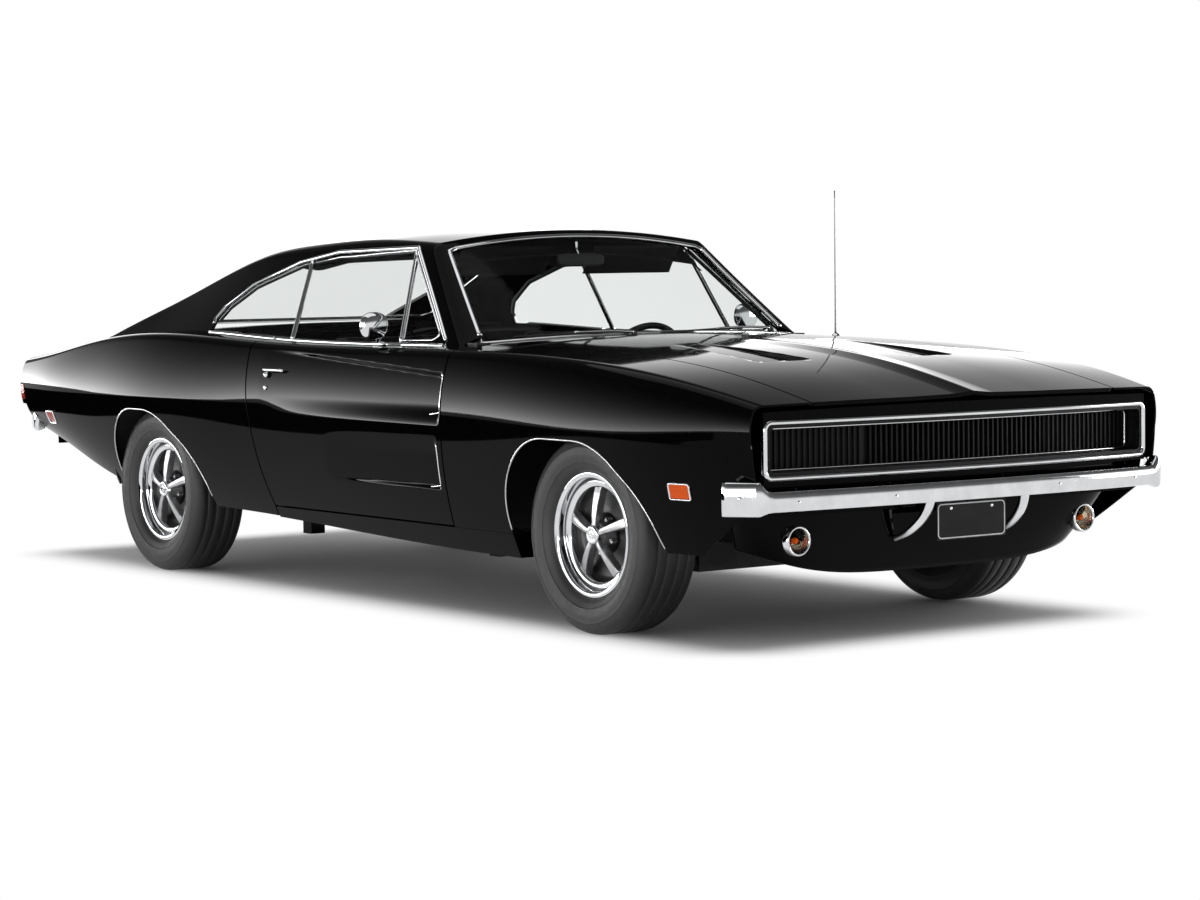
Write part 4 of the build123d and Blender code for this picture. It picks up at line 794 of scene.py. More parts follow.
def hood_crease(x, y):
    """Height of the fold along the middle of the hood."""
    broad = 0.004 * (1 - np.clip(np.abs(y) / 0.30, 0, 1)) ** 1.6
    narrow = 0.006 * (1 - np.clip(np.abs(y) / 0.085, 0, 1)) ** 1.3
    return (broad + narrow) * step_smooth(x, 1.15, 2.1)


def hood_depth(x, y):
    """Depth of the hood's pressings below its plain top."""
    return hood_scoops(x, y) - hood_crease(x, y)


def hood():
    """The hood skin."""
    y = np.linspace(-HOOD_SEAM_Y + GAP / 2, HOOD_SEAM_Y - GAP / 2, 90)
    front = np.stack([nose_x(y), y], -1)
    right = spaced([(HOOD_REAR_X, y[0]), (front[0][0], y[0])], 0.02)
    left = spaced([(front[-1][0], y[-1]), (HOOD_REAR_X, y[-1])], 0.02)
    rear = np.stack([np.full_like(y, HOOD_REAR_X), y[::-1]], -1)
    loop = np.vstack([right[:-1], front[:-1], left[:-1], rear[:-1]])
    lines = np.arange(1.07, 2.6, 0.010), np.arange(-0.655, 0.656, 0.009)
    return panel("hood_skin", top_surface(hood_depth), loop, [], lines, PAINT, 0.014, step=(3e-3, 3e-3))


def lid():
    """The trunk lid skin."""
    y = np.linspace(-LID_SEAM_Y, LID_SEAM_Y, 70)
    loop = np.vstack([spaced([(LID_FRONT_X, y[-1]), (LID_REAR_X, y[-1])], 0.02)[:-1],
                      np.stack([np.full_like(y, LID_REAR_X), y[::-1]], -1)[:-1],
                      spaced([(LID_REAR_X, y[0]), (LID_FRONT_X, y[0])], 0.02)[:-1],
                      np.stack([np.full_like(y, LID_FRONT_X), y], -1)[:-1]])[::-1]
    lines = np.arange(-2.52, -1.56, 0.022), np.arange(-0.56, 0.565, 0.022)
    return panel("trunk_lid_skin", top_surface(), loop, [], lines, PAINT, 0.014)


def roof_surface(side):
    """The side above the belt and the roof on one side, over x and girth."""
    def point(x, t):
        p = roof_point(x, from_length(t, R_LENGTH))
        p[..., 1] *= side
        return p
    return point


def along_roof(points):
    """Points of a side-view line as x and girth above the belt."""
    points = np.asarray(points, float)
    return np.stack([points[:, 0], to_length(r_at_z(points[:, 0], points[:, 1]), R_LENGTH)], -1)


def across_roof(xs, ys):
    """Points of a plan line as x and girth on the roof."""
    xs, ys = np.asarray(xs, float), np.asarray(ys, float)
    return np.stack([xs, to_length(r_at_y(xs, ys), R_LENGTH)], -1)


SCREEN_TOP_X, SCREEN_TOP_Y, SCREEN_FOOT_X, SCREEN_FOOT_Y = 0.430, 0.580, 0.950, 0.742
ROOF_MIDDLE = R_LENGTH[-1]
opening = rounded([(x * MM, z * MM) for x, z in SIDE_OPENING], 0.014, step=0.006)


def pillar_y(x):
    """The windshield opening's edge at x."""
    slope = (SCREEN_FOOT_Y - SCREEN_TOP_Y) / (SCREEN_FOOT_X - SCREEN_TOP_X)
    return SCREEN_TOP_Y + (x - SCREEN_TOP_X) * slope


def window_line(end):
    """The side window opening from its front corner over the top to a point near its rear one."""
    line = spaced(opening, 0.012)
    start, stop = (np.argmin(np.abs(line - corner).sum(1)) for corner in ((0.690, 0.966), end))
    return line[start:stop + 1]


def roof_half(side, hand):
    """One half of the roof with its windshield pillar and its sail, in one sheet."""
    foot_x, foot_z, end_x = 0.800, 0.945, -2.070
    window = window_line((-1.062, 1.028))
    front_foot = spaced([(foot_x, foot_z), (0.700, foot_z), tuple(window[0])], 0.012)
    rear_foot = np.array([(x, top_height(x, 0.78) - 0.014) for x in np.linspace(-1.045, end_x, 44)])
    pillar_x = np.linspace(SCREEN_TOP_X, foot_x, 30)
    pillar = across_roof(pillar_x, pillar_y(pillar_x))[::-1]
    header = np.stack([np.full(16, SCREEN_TOP_X), np.linspace(pillar[-1][1], ROOF_MIDDLE, 16)], -1)
    split_x = -0.828
    middle = np.stack([np.linspace(SCREEN_TOP_X, split_x, 60), np.full(60, ROOF_MIDDLE)], -1)
    sail_x = np.linspace(split_x, end_x, 60)
    sail = across_roof(sail_x, np.full_like(sail_x, SAIL_Y))
    rear_header = np.stack([np.full(16, split_x), np.linspace(ROOF_MIDDLE, sail[0][1], 16)], -1)
    foot_t = along_roof(rear_foot)
    end = np.stack([np.full(12, end_x), np.linspace(sail[-1][1], foot_t[-1][1], 12)], -1)
    pillar_end = np.stack([np.full(10, foot_x),
                           np.linspace(along_roof(front_foot[:1])[0][1], pillar[0][1], 10)], -1)
    loop = np.vstack([pillar_end[:-1], pillar[:-1], header[:-1], middle[:-1], rear_header[:-1], sail[:-1],
                      end[:-1],
                      foot_t[::-1][:-1], along_roof(window)[::-1], along_roof(front_foot)[::-1][:-1]])
    v = ticks((0.0, 0.42, 0.02), (0.42, 0.505, 0.008), (0.51, ROOF_MIDDLE, 0.03))
    u = np.unique(np.append(ticks((-2.07, 0.81, 0.022)), HEADER_X))
    return panel(f"roof_{hand}", roof_surface(side), loop, [], (u, v), PAINT, 0.014, side > 0, (4e-3, 5e-3))


for side, hand in SIDES:
    place(fender(side, hand), "body", "paint")
    place(door(side, hand), f"door_{hand}", "paint", f"door_{hand}")
    place(quarter(side, hand), "body", "paint")
    place(roof_half(side, hand), "body", "paint")
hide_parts("fenders")
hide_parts("quarter_panels")
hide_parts("roof")
place(hood(), "hood", "paint", "hood")
place(lid(), "trunk_lid", "paint", "trunk_lid")


# Bright trim, laid along lines on the body


def cleaned(obj, merge=0.0):
    """The same mesh with close points joined, loose ones gone and its faces turned outward."""
    work = bmesh.new()
    work.from_mesh(obj.data)
    if merge:
        bmesh.ops.remove_doubles(work, verts=work.verts, dist=merge)
    bmesh.ops.delete(work, geom=[vert for vert in work.verts if not vert.link_faces], context="VERTS")
    bmesh.ops.recalc_face_normals(work, faces=work.faces)
    work.to_mesh(obj.data)
    work.free()
    return obj


def quads(index, ring=False, loop=False):
    """Faces between neighbouring rows of an index grid; ring closes each row, and loop closes the rows."""
    n, m = index.shape
    return [(index[i][k], index[i][(k + 1) % m], index[(i + 1) % n][(k + 1) % m], index[(i + 1) % n][k])
            for i in range(n if loop else n - 1) for k in range(m if ring else m - 1)]


def skinned(name, rows, material, ring=True, loop=False, smooth=True, caps=True, merge=0.0):
    """A skin over rows of points; open ends of rings are capped."""
    rows = np.asarray(rows, float)
    index = np.arange(rows.shape[0] * rows.shape[1]).reshape(rows.shape[:2])
    faces = quads(index, ring, loop)
    if ring and caps and not loop:
        faces += [tuple(index[0]), tuple(index[-1][::-1])]
    obj = new_object(name, rows.reshape(-1, 3), faces, material, smooth=smooth)
    return cleaned(obj, merge) if ring else obj


def tangents(points):
    """Unit directions along a line of points."""
    return unit(np.gradient(points, axis=0))


def bead(name, points, normals, half_width, height, material, closed=False):
    """A half-round strip along a line of points, standing on a surface with the given normals."""
    points, normals = np.asarray(points, float), np.asarray(normals, float)
    along = np.roll(points, -1, 0) - np.roll(points, 1, 0)
    if not closed:
        along[0], along[-1] = points[1] - points[0], points[-1] - points[-2]
    along = unit(along)
    normals = unit(normals - (normals * along).sum(1, keepdims=True) * along)
    across = np.cross(along, normals)
    ring = [(half_width * math.cos(a), height * math.sin(a)) for a in np.linspace(0, math.pi, 7)]
    ring += [(-half_width, -height), (half_width, -height)]
    rows = np.stack([points + across * a + normals * b for a, b in ring], 1)
    return skinned(name, rows, material, loop=closed)


def strip(name, line, half, height, material=CHROME, body="body", slot="chrome", closed=False):
    """A bead along a line of points and normals, put on a body."""
    return place(bead(name, *line, half, height, material, closed), body, slot)


def level(points, normal):
    """A line of points with the same normal at each."""
    return points, np.tile(normal, (len(points), 1))


def ring_bead(name, centre, radius, normal, half, height, material, segments=64):
    """A bead round a circle."""
    turn = Vector(normal).to_track_quat("Z", "Y").to_matrix()
    points = [tuple(turn @ Vector((radius * math.cos(t), radius * math.sin(t), 0)) + Vector(centre))
              for t in np.linspace(0, 2 * math.pi, segments, endpoint=False)]
    return bead(name, *level(points, normal), half, height, material, closed=True)


def normals_on(point, uv, flip, step=3e-3):
    """Unit normals of a surface at its parameters."""
    du = point(uv[:, 0] + step, uv[:, 1]) - point(uv[:, 0] - step, uv[:, 1])
    dv = point(uv[:, 0], uv[:, 1] + step) - point(uv[:, 0], uv[:, 1] - step)
    n = unit(np.cross(du, dv))
    return -n if flip else n


def on_surface(point, uv, side, lift=0.0):
    """Points and outward normals of a one-sided surface at its parameters."""
    uv = np.asarray(uv, float)
    n = normals_on(point, uv, side > 0)
    return point(uv[:, 0], uv[:, 1]) + n * lift, n


def side_trim(side, hand):
    """Arch lips, window frame and belt strip on one side."""
    body, roof = side_surface(side), roof_surface(side)
    for name, line, lows in (("front", front_arch, (0.330, 0.318)), ("rear", rear_arch, (0.390, 0.330))):
        lip = on_surface(body, along_side(above(line, *lows)), side, -0.0008)
        strip(f"arch_lip_{name}_{hand}", lip, 0.0032, 0.0026, LIP)
    frame_line = window_line((-1.05, 1.01))
    strip(f"window_frame_{hand}", on_surface(roof, along_roof(frame_line), side, 0.001), 0.0075, 0.006)
    p, n = on_surface(roof, along_roof(frame_line[2:-2]), side, -0.012)
    toward = np.array([-0.2, side * 0.7, 1.05]) - p
    p = p + unit(toward - (toward * n).sum(1, keepdims=True) * n) * 0.018
    strip(f"window_channel_{hand}", (p, n), 0.009, 0.004, SEAL, slot="rubber")
    strip(f"window_inner_strip_{hand}", (p + n * 0.004, n), 0.0028, 0.002, BRIGHT)
    for part, x0, x1, carrier in (("front", 0.690, -0.474, f"door_{hand}"),
                                  ("rear", -0.492, -1.020, "body")):
        x = np.linspace(x0, x1, 40)
        y = 0.790 - 0.010 * np.clip((-0.49 - x) / 0.56, 0, 1)
        points = np.stack([x, side * y, top_z(x, y) + 0.002], -1)
        strip(f"belt_strip_{part}_{hand}", level(points, [0.0, side * 0.55, 0.83]), 0.007, 0.005,
              body=carrier)


def glass_y(z):
    """The side glass's outer face at a height."""
    return 0.776 - 0.43 * (z - 0.945)


def window_bars(side, hand):
    """The upright between the two side windows, and the vent window's frame, standing on the glass."""
    carrier = f"door_{hand}"

    def bar(name, line, half, height, material, lift=0.002):
        line = spaced(line, 0.02)
        points = np.stack([line[:, 0], side * (glass_y(line[:, 1]) + lift), line[:, 1]], -1)
        strip(f"{name}_{hand}", level(points, [0.0, side * 0.918, 0.395]), half, height, material, carrier)

    bar("window_divider", [(-0.384, 0.948), (-0.437, 1.262)], 0.009, 0.008, CHROME)
    bar("vent_bar", [(0.392, 0.952), (0.290, 1.288)], 0.008, 0.008, CHROME)
    vent = rounded([(0.300, 1.270), (0.640, 0.985), (0.600, 0.966), (0.405, 0.962)], 0.03)
    bar("vent_frame", vent, 0.004, 0.004, BRIGHT, 0.003)


def windshield_trim():
    """A bright strip along the cowl, and another up each pillar and across the header."""
    y = np.linspace(-0.715, 0.715, 61)

    def over_cowl(x):
        c = SCREEN(x)
        return c[:, 3] - (c[:, 3] - c[:, 2]) * (y / c[:, 1]) ** 2 - top_z(x, y)

    x = solve(over_cowl, np.zeros_like(y), 0.620, 0.960, rising=False)
    points = np.stack([x, y, top_z(x, y) + 0.003], -1)
    strip("windshield_foot_strip", level(points, (0.5, 0.0, 0.866)), 0.006, 0.004)
    left = roof_surface(1)
    pillar_x = np.linspace(0.790, SCREEN_TOP_X + 0.012, 34)
    head_y = np.linspace(SCREEN_TOP_Y - 0.02, 0, 24)
    head_x = np.full_like(head_y, SCREEN_TOP_X + 0.004)
    pillar = on_surface(left, across_roof(pillar_x, pillar_y(pillar_x) + 0.004), 1, -0.002)
    head = on_surface(left, across_roof(head_x, np.maximum(head_y, 1e-3)), 1, -0.002)
    flip = np.array([1.0, -1.0, 1.0])
    line = [np.concatenate([a, b, b[::-1][1:] * flip, a[::-1] * flip]) for a, b in zip(pillar, head)]
    strip("windshield_strip", line, 0.009, 0.006)


def rear_window_trim():
    """A bright strip round the rear window."""
    (head_x, head_z), (foot_x, foot_z), half = (-0.812, 1.292), (-1.462, 1.010), 0.556
    corners = [(head_x, half), (head_x, -half), (foot_x, -half), (foot_x, half)]
    points = closed_line(corners, 0.05, 0.012, 0.02)
    slope = (head_z - foot_z) / (head_x - foot_x)
    z = foot_z + (points[:, 0] - foot_x) * slope + 0.004
    line = level(np.stack([points[:, 0], points[:, 1], z], -1), unit(np.array([-slope, 0.0, 1.0])))
    strip("rear_window_strip", line, 0.009, 0.006, closed=True)


for side, hand in SIDES:
    side_trim(side, hand)
    window_bars(side, hand)
windshield_trim()
rear_window_trim()


# Wheels and tyres, about the axle with the outer face towards +Y


def turned(name, profile, material, segments=128):
    """A closed profile of radius and axial position, turned about the Y axis."""
    radius, axial = np.asarray(profile, float).T
    angles = np.linspace(0, 2 * math.pi, segments, endpoint=False)
    rows = [np.stack([radius * math.cos(a), axial, radius * math.sin(a)], -1) for a in angles]
    return skinned(name, rows, material, loop=True)


def lathed(name, points, count, material, segments):
    """A smooth curve through points of radius and axial position, turned about the Y axis."""
    return turned(name, smooth_profile(points, count), material, segments)


def joined(name, pieces):
    """Several meshes as one piece that keeps each one's material."""
    for piece in pieces:
        piece.select_set(True)
    bpy.context.view_layer.objects.active = pieces[0]
    with bpy.context.temp_override(active_object=pieces[0], selected_editable_objects=pieces,
                                   object=pieces[0]):
        bpy.ops.object.join()
    pieces[0].name = name
    pieces[0].data.name = name
    pieces[0].select_set(False)
    return pieces[0]


def smooth_profile(points, count):
    """A Catmull curve through points, sampled evenly between them."""
    p = np.asarray(points, float)
    p = np.vstack([2 * p[0] - p[1], p, 2 * p[-1] - p[-2]])
    out = []
    for i in range(1, len(p) - 2):
        for t in np.linspace(0, 1, count, endpoint=False):
            a, b, c, d = p[i - 1], p[i], p[i + 1], p[i + 2]
            square, cube = 2 * a - 5 * b + 4 * c - d, 3 * b - a - 3 * c + d
            out.append(0.5 * (2 * b + (c - a) * t + square * t**2 + cube * t**3))
    out.append(p[-2])
    return np.array(out)


TYRE_SIDE = [
    (0.2085, 0.084), (0.222, 0.101), (0.243, 0.1125), (0.2445, 0.1145), (0.247, 0.1142), (0.270, 0.1195),
    (0.292, 0.1185), (0.294, 0.1198), (0.297, 0.1178), (0.313, 0.111), (0.325, 0.099), (0.332, 0.084)]
TREAD_GROOVES = ((0.062, 0.006), (0.022, 0.007), (-0.022, 0.007), (-0.062, 0.006))
RIM_LIP = [
    (0.157, 0.046), (0.160, 0.056), (0.166, 0.0605), (0.174, 0.063), (0.180, 0.0625), (0.183, 0.058),
    (0.1855, 0.058), (0.188, 0.074), (0.191, 0.086), (0.198, 0.0905), (0.206, 0.0915), (0.2115, 0.0885),
    (0.2118, 0.083)]
RIM_BARREL = [
    (0.195, 0.076), (0.192, -0.076), (0.2118, -0.083), (0.2118, -0.0915), (0.186, -0.0905), (0.181, -0.050),
    (0.172, 0.010), (0.157, 0.030)]
WHEEL_WELL = [
    (0.024, 0.020), (0.080, 0.022), (0.140, 0.012), (0.156, 0.020), (0.1585, 0.046), (0.160, 0.046),
    (0.160, -0.004), (0.024, -0.004)]
HUB_CAP = [
    (0.0005, 0.0895), (0.010, 0.0893), (0.0115, 0.0875), (0.020, 0.0872), (0.0215, 0.089), (0.027, 0.0885),
    (0.031, 0.085), (0.0325, 0.078), (0.0325, 0.060), (0.0005, 0.060)]
HUB = [(0.0005, 0.066), (0.042, 0.066), (0.050, 0.060), (0.058, 0.034), (0.072, 0.022), (0.0005, 0.012)]
SPOKE_ROWS = (
    (0.030, 0.0095, 0.080), (0.060, 0.0105, 0.079), (0.100, 0.0130, 0.073), (0.140, 0.0155, 0.064),
    (0.158, 0.0165, 0.058))
SPOKES = 5


def tyre(name):
    """A tyre with a moulded side and four tread grooves."""
    side = smooth_profile(TYRE_SIDE, 3)
    tread = []
    for at, width in TREAD_GROOVES:
        tread += [(0.3345, at + width / 2 + 0.002), (0.333, at + width / 2),
                  (0.3265, at + width / 2 - 0.001),
                  (0.3265, at - width / 2 + 0.001), (0.333, at - width / 2),
                  (0.3345, at - width / 2 - 0.002)]
    inner = [(r, -a) for r, a in side[::-1]]
    profile = [tuple(p) for p in side] + tread + inner + [(0.196, -0.076), (0.196, 0.076)]
    return turned(name, profile, RUBBER, 160)


def spoke(angle):
    """One flat tapered spoke with bevelled edges."""
    c, s = math.cos(angle), math.sin(angle)
    rows = []
    for r, half, face in SPOKE_ROWS:
        ring = [(-half - 0.002, face - 0.030), (-half, face - 0.003), (-half + 0.003, face),
                (0, face + 0.0012),
                (half - 0.003, face), (half, face - 0.003), (half + 0.002, face - 0.030)]
        rows.append([(r * c - y * s, axial, r * s + y * c) for y, axial in ring])
    return skinned("spoke", rows, SATIN, smooth=False)


def nut(angle, radius):
    """A six-sided wheel nut with a bevelled end, open at its foot."""
    x, z = radius * math.cos(angle), radius * math.sin(angle)
    turns = [k * math.pi / 3 for k in range(6)]
    verts = [(x + size * math.cos(t), axial, z + size * math.sin(t))
             for axial, size in ((0.030, 0.0095), (0.050, 0.0095), (0.054, 0.0065)) for t in turns]
    index = np.arange(18).reshape(3, 6)
    faces = quads(index, ring=True) + [tuple(index[-1])]
    return cleaned(new_object("nut", verts, faces, CHROME, smooth=False))


def wheel(name):
    """A bright rim, a dark well, five spokes with a nut between each two, and a hub cap."""
    pieces = [
        turned("rim", [*map(tuple, smooth_profile(RIM_LIP, 4)), *RIM_BARREL], CHROME),
        ring_bead("groove", (0, 0.0585, 0), 0.1845, (0, 1, 0), 0.0042, 0.003, WHEEL_BLACK),
        turned("well", WHEEL_WELL, WHEEL_BLACK),
        lathed("cap", HUB_CAP, 3, CHROME, 64),
        turned("hub", HUB, WHEEL_BLACK, 80)]
    for k in range(SPOKES):
        pieces.append(spoke(math.pi / 2 + 2 * math.pi * k / SPOKES))
        pieces.append(nut(math.pi / 2 + 2 * math.pi * (k + 0.5) / SPOKES, 0.062))
    return joined(name, pieces)


AXLE_Z, AXLE_Y = 0.335, 0.770
first_tyre, first_wheel = tyre("tyre_first"), wheel("wheel_first")
for end, axle_x in (("front", 1.671), ("rear", -1.301)):
    for side, hand in SIDES:
        for kind, source, slot in (("tyre", first_tyre, "rubber"), ("wheel", first_wheel, "wheel")):
            piece = bpy.data.objects.new(f"{kind}_dressed_{end}_{hand}", source.data.copy())
            bpy.context.scene.collection.objects.link(piece)
            turn = Matrix.Identity(4) if side > 0 else Matrix.Rotation(math.pi, 4, "Z")
            piece.data.transform(Matrix.Translation((axle_x, side * AXLE_Y, AXLE_Z)) @ turn)
            place(piece, f"wheel_{end}_{hand}", slot, f"{kind}_{end}_{hand}")
for source in (first_tyre, first_wheel):
    bpy.data.objects.remove(source)


# Bumpers: a rounded bar swept round the corners, its ends deeper than its middle


BUMPER_PROFILE = [
    (-0.046, 0.08), (-0.022, 0.0), (-0.008, 0.02), (-0.0025, 0.12), (-0.0005, 0.40), (-0.0005, 0.62),
    (-0.004, 0.86), (-0.013, 0.985), (-0.026, 1.0), (-0.046, 0.94)]
GUARD_LINE = [
    (2.632, 0.205, 0.500), (2.630, 0.207, 0.468), (2.616, 0.211, 0.428), (2.584, 0.217, 0.388),
    (2.535, 0.224, 0.352), (2.478, 0.232, 0.330)]
BUMPER_TIP_X, FRONT_SWEEP, FRONT_HALF = 2.6405, 0.046, 0.850


def bumper_bar(name, path, low, high, grow_from, grow_to):
    """A bar along half a plan line, mirrored; low and high are its edges in the middle and at the ends."""
    half = spaced(rounded(path, 0.045, step=0.006), 0.03)
    line = np.vstack([half[::-1] * np.array([1, -1]), half[1:]])
    along = tangents(line)
    out = np.stack([along[:, 1], -along[:, 0]], -1)
    grow = step_smooth(np.abs(line[:, 1]), grow_from, grow_to)
    bottom, top = low[0] + (low[1] - low[0]) * grow, high[0] + (high[1] - high[0]) * grow
    depth, rise = smooth_profile(BUMPER_PROFILE, 3).T
    plan = line[:, None] + out[:, None] * depth[:, None]
    z = bottom[:, None] + (top - bottom)[:, None] * rise
    return skinned(name, np.concatenate([plan, z[..., None]], -1), CHROME)


def bow(tip, sweep, half, count=14):
    """Half of a shallow bow in plan, from the middle out."""
    y = np.linspace(0, half, count)
    return [(tip - sweep * (v / half) ** 2, v) for v in y]


def dome(name, at, axis, radius, height, material, segments=20, rings=5):
    """A low round head on a surface, along an axis."""
    turn = Vector(axis).normalized().to_track_quat("Z", "Y").to_matrix()
    verts = [Vector((0, 0, height))]
    for k in range(1, rings + 1):
        a = k / rings * math.pi / 2
        r, z = radius * math.sin(a), height * math.cos(a)
        turns = [2 * math.pi * j / segments for j in range(segments)]
        verts += [Vector((r * math.cos(t), r * math.sin(t), z)) for t in turns]
    index = 1 + np.arange(rings * segments).reshape(rings, segments)
    faces = [(0, 1 + j, 1 + (j + 1) % segments) for j in range(segments)]
    faces += quads(index, ring=True) + [tuple(index[-1])]
    return cleaned(new_object(name, [turn @ v + Vector(at) for v in verts], faces, material))


def guard(side):
    """A curved upright beside the plate, swept back at its foot."""
    line = smooth_profile(GUARD_LINE, 8)
    n = len(line)
    width = np.interp(np.linspace(0, 1, n), [0, 0.12, 0.75, 1], [0.012, 0.018, 0.017, 0.010])
    slope = np.gradient(line, axis=0)
    out = unit(np.stack([-slope[:, 2], np.zeros(n), slope[:, 0]], -1))
    ring = [(-1, -0.014), (-1, -0.004), (-0.72, 0.003), (0, 0.005), (0.72, 0.003), (1, -0.004), (1, -0.014)]
    rows = [[p + o * d + np.array([0, w * a, 0]) for a, d in ring] for p, w, o in zip(line, width, out)]
    return skinned("guard", np.array(rows) * np.array([1, side, 1]), CHROME)


def front_bumper():
    """The front bar with its two guards and six bolt heads."""
    path = bow(BUMPER_TIP_X, FRONT_SWEEP, FRONT_HALF) + [(2.590, 0.884), (2.496, 0.960)]
    pieces = [bumper_bar("front_bar", path, (0.458, 0.447), (0.523, 0.556), 0.835, 0.885), guard(1),
              guard(-1)]
    bolts = [((BUMPER_TIP_X - FRONT_SWEEP * (y / FRONT_HALF) ** 2 - 0.001, y, 0.487), (1, 0, 0))
             for y in (-0.74, -0.36, 0.36, 0.74)]
    bolts += [((2.540, side * 0.9235, 0.505), (0.65, side * 0.76, 0)) for side, _ in SIDES]
    pieces += [dome("bolt", at, axis, 0.007, 0.003, CHROME) for at, axis in bolts]
    return joined("front_bumper_dressed", pieces)


def rear_bumper():
    """The rear bar, swept like the front one and turned about."""
    path = bow(BUMPER_TIP_X, 0.030, 0.770) + [(2.606, 0.806), (2.500, 0.842)]
    bar = bumper_bar("rear_bumper_dressed", path, (0.535, 0.530), (0.632, 0.640), 0.70, 0.80)
    bar.data.transform(Matrix.Diagonal((-1, 1, 1, 1)))
    bar.data.flip_normals()
    return bar


place(front_bumper(), "body", "chrome", "front_bumper")
place(rear_bumper(), "body", "chrome", "rear_bumper")


# Lamps, plate and grille frames


def mouth_line(half, low, high, radius, setback):
    """A rounded oblong across the bowed front, set back from its edge."""
    line = closed_line([(-half, low), (half, low), (half, high), (-half, high)], radius, 0.004, 0.02)
    points = np.stack([nose_x(line[:, 0]) - setback, line[:, 0], line[:, 1]], -1)
    slope = 2 * (NOSE_CENTRE_X - NOSE_CORNER_X) / NOSE_CORNER_Y**2
    normals = np.stack([np.ones(len(line)), slope * line[:, 0], np.zeros(len(line))], -1)
    return points, normals


def faced(piece, at):
    """A piece turned about Y put at a point, facing forward."""
    piece.data.transform(Matrix.Translation(at) @ Matrix.Rotation(-math.pi / 2, 4, "Z"))
    return piece


LAMP_BEZEL = [
    (0.0385, 0.012), (0.041, 0.019), (0.0455, 0.020), (0.049, 0.014), (0.0495, -0.008), (0.0385, -0.008)]
LAMP_BOWL = [
    (0.0005, -0.016), (0.018, -0.014), (0.032, -0.004), (0.039, 0.012), (0.0405, 0.010), (0.034, -0.010),
    (0.0005, -0.020)]
LAMP_BULB = [(0.0005, 0.008), (0.007, 0.006), (0.011, -0.002), (0.010, -0.012), (0.0005, -0.014)]
LAMP_COVER = [
    (0.0005, 0.0235), (0.018, 0.0215), (0.032, 0.0165), (0.0388, 0.0125), (0.0388, 0.0105), (0.032, 0.0145),
    (0.018, 0.0195), (0.0005, 0.0215)]


def turn_lamp(side, hand):
    """A round lamp: bright bezel, warm reflector bowl, amber bulb and a domed clear lens."""
    pieces = [
        lathed("bezel", LAMP_BEZEL, 3, CHROME, 64),
        lathed("bowl", LAMP_BOWL, 4, REFLECTOR, 64),
        lathed("bulb", LAMP_BULB, 4, AMBER_LENS, 32),
        lathed("cover", LAMP_COVER, 3, GLASS, 64)]
    return faced(joined(f"turn_lamp_dressed_{hand}", pieces), (2.456, side * 0.631, 0.352))


def valance():
    """The sheet below the bumper: bowed in plan, its ends drawn back and up."""
    u, v = np.linspace(-1, 1, 81), np.linspace(0, 1, 15)
    uu, vv = np.meshgrid(u, v, indexing="ij")
    end = np.abs(uu) ** 12
    half = 0.826 - 0.100 * vv
    x = 2.508 - 0.088 * vv - 0.012 * uu**2 - 0.130 * end + 0.004 * np.sin(math.pi * vv)
    z = 0.448 - (0.448 - 0.224 - 0.090 * np.abs(uu) ** 4) * vv
    front = np.stack([x, uu * half, z], -1)
    back = front - np.array([0.010, 0, 0])
    index = np.arange(uu.size).reshape(uu.shape)
    faces = quads(index) + [face[::-1] for face in quads(index + uu.size)]
    ring = [*index[:, 0], *index[-1, 1:], *index[-2::-1, -1], *index[0, -2:0:-1]]
    faces += [(a, b, b + uu.size, a + uu.size) for a, b in zip(ring, ring[1:] + ring[:1])]
    verts = np.concatenate([front.reshape(-1, 3), back.reshape(-1, 3)])
    return cleaned(new_object("front_valance_dressed", verts, faces, PAINT))


def antenna():
    """A mast on a domed base."""
    x, y = 0.948, 0.838
    foot = top_height(x, y) - 0.006
    base = dome("antenna_base", (x, y, foot), (0, 0, 1), 0.019, 0.022, CHROME)
    mast_line = [(x, y, z) for z in (foot + 0.010, 1.10, 1.30, 1.494)]
    mast = tube("antenna_mast", mast_line, (0.0042, 0.0030, 0.0026, 0.0020), MAST)
    tip = dome("antenna_tip", (x, y, 1.4935), (0, 0, 1), 0.0032, 0.0055, MAST)
    return joined("antenna_dressed", [base, mast, tip])


def scallop_edge_highlights(side, hand):
    """Bright metal beads where the two door hollows end, at the front of the door: a painted highlight
    standing in for the light these pressed edges catch.
    """
    skin = side_surface(side, door_hollow)
    edges = (("upper", [(0.893, 0.857), (0.896, 0.722), (0.826, 0.712)]),
             ("lower", [(0.872, 0.612), (0.872, 0.462), (0.800, 0.455)]))
    for name, line in edges:
        # painted highlight: each bead is a bright strip laid along a pressed edge, where the edge catches
        # light
        edge = on_surface(skin, along_side(spaced(rounded(line, 0.022, step=0.004), 0.012)), side, 0.0005)
        strip(f"door_edge_highlight_{name}_{hand}", edge, 0.0030, 0.0022, BRIGHT, f"door_{hand}")


def marker_frame(end, side, hand, x, z, half, height):
    """A bright frame round a side marker."""
    a, b = MARKER_LENGTH / 2, MARKER_HEIGHT / 2
    line = closed_line([(x - a, z - b), (x + a, z - b), (x + a, z + b), (x - a, z + b)], 0.006, 0.003, 0.01)
    frame_line = on_surface(side_surface(side), along_side(line), side, 0.002)
    strip(f"marker_frame_{end}_{hand}", frame_line, half, height, closed=True)


def tail_reflector(side, hand):
    """A red reflector round the tail corner, standing a little proud of the side."""
    corners = [(-2.606, 0.668), (-2.566, 0.668), (-2.566, 0.732), (-2.606, 0.732)]
    loop = along_side(rounded(corners, 0.005, step=0.003, close=True))
    proud = side_surface(side, lambda x, z: -0.003)
    lines = np.arange(-2.60, -2.57, 0.008), np.arange(0.40, 0.60, 0.010)
    return panel(f"tail_reflector_{hand}", proud, loop, [], lines, RED_LENS, 0.006, side > 0)


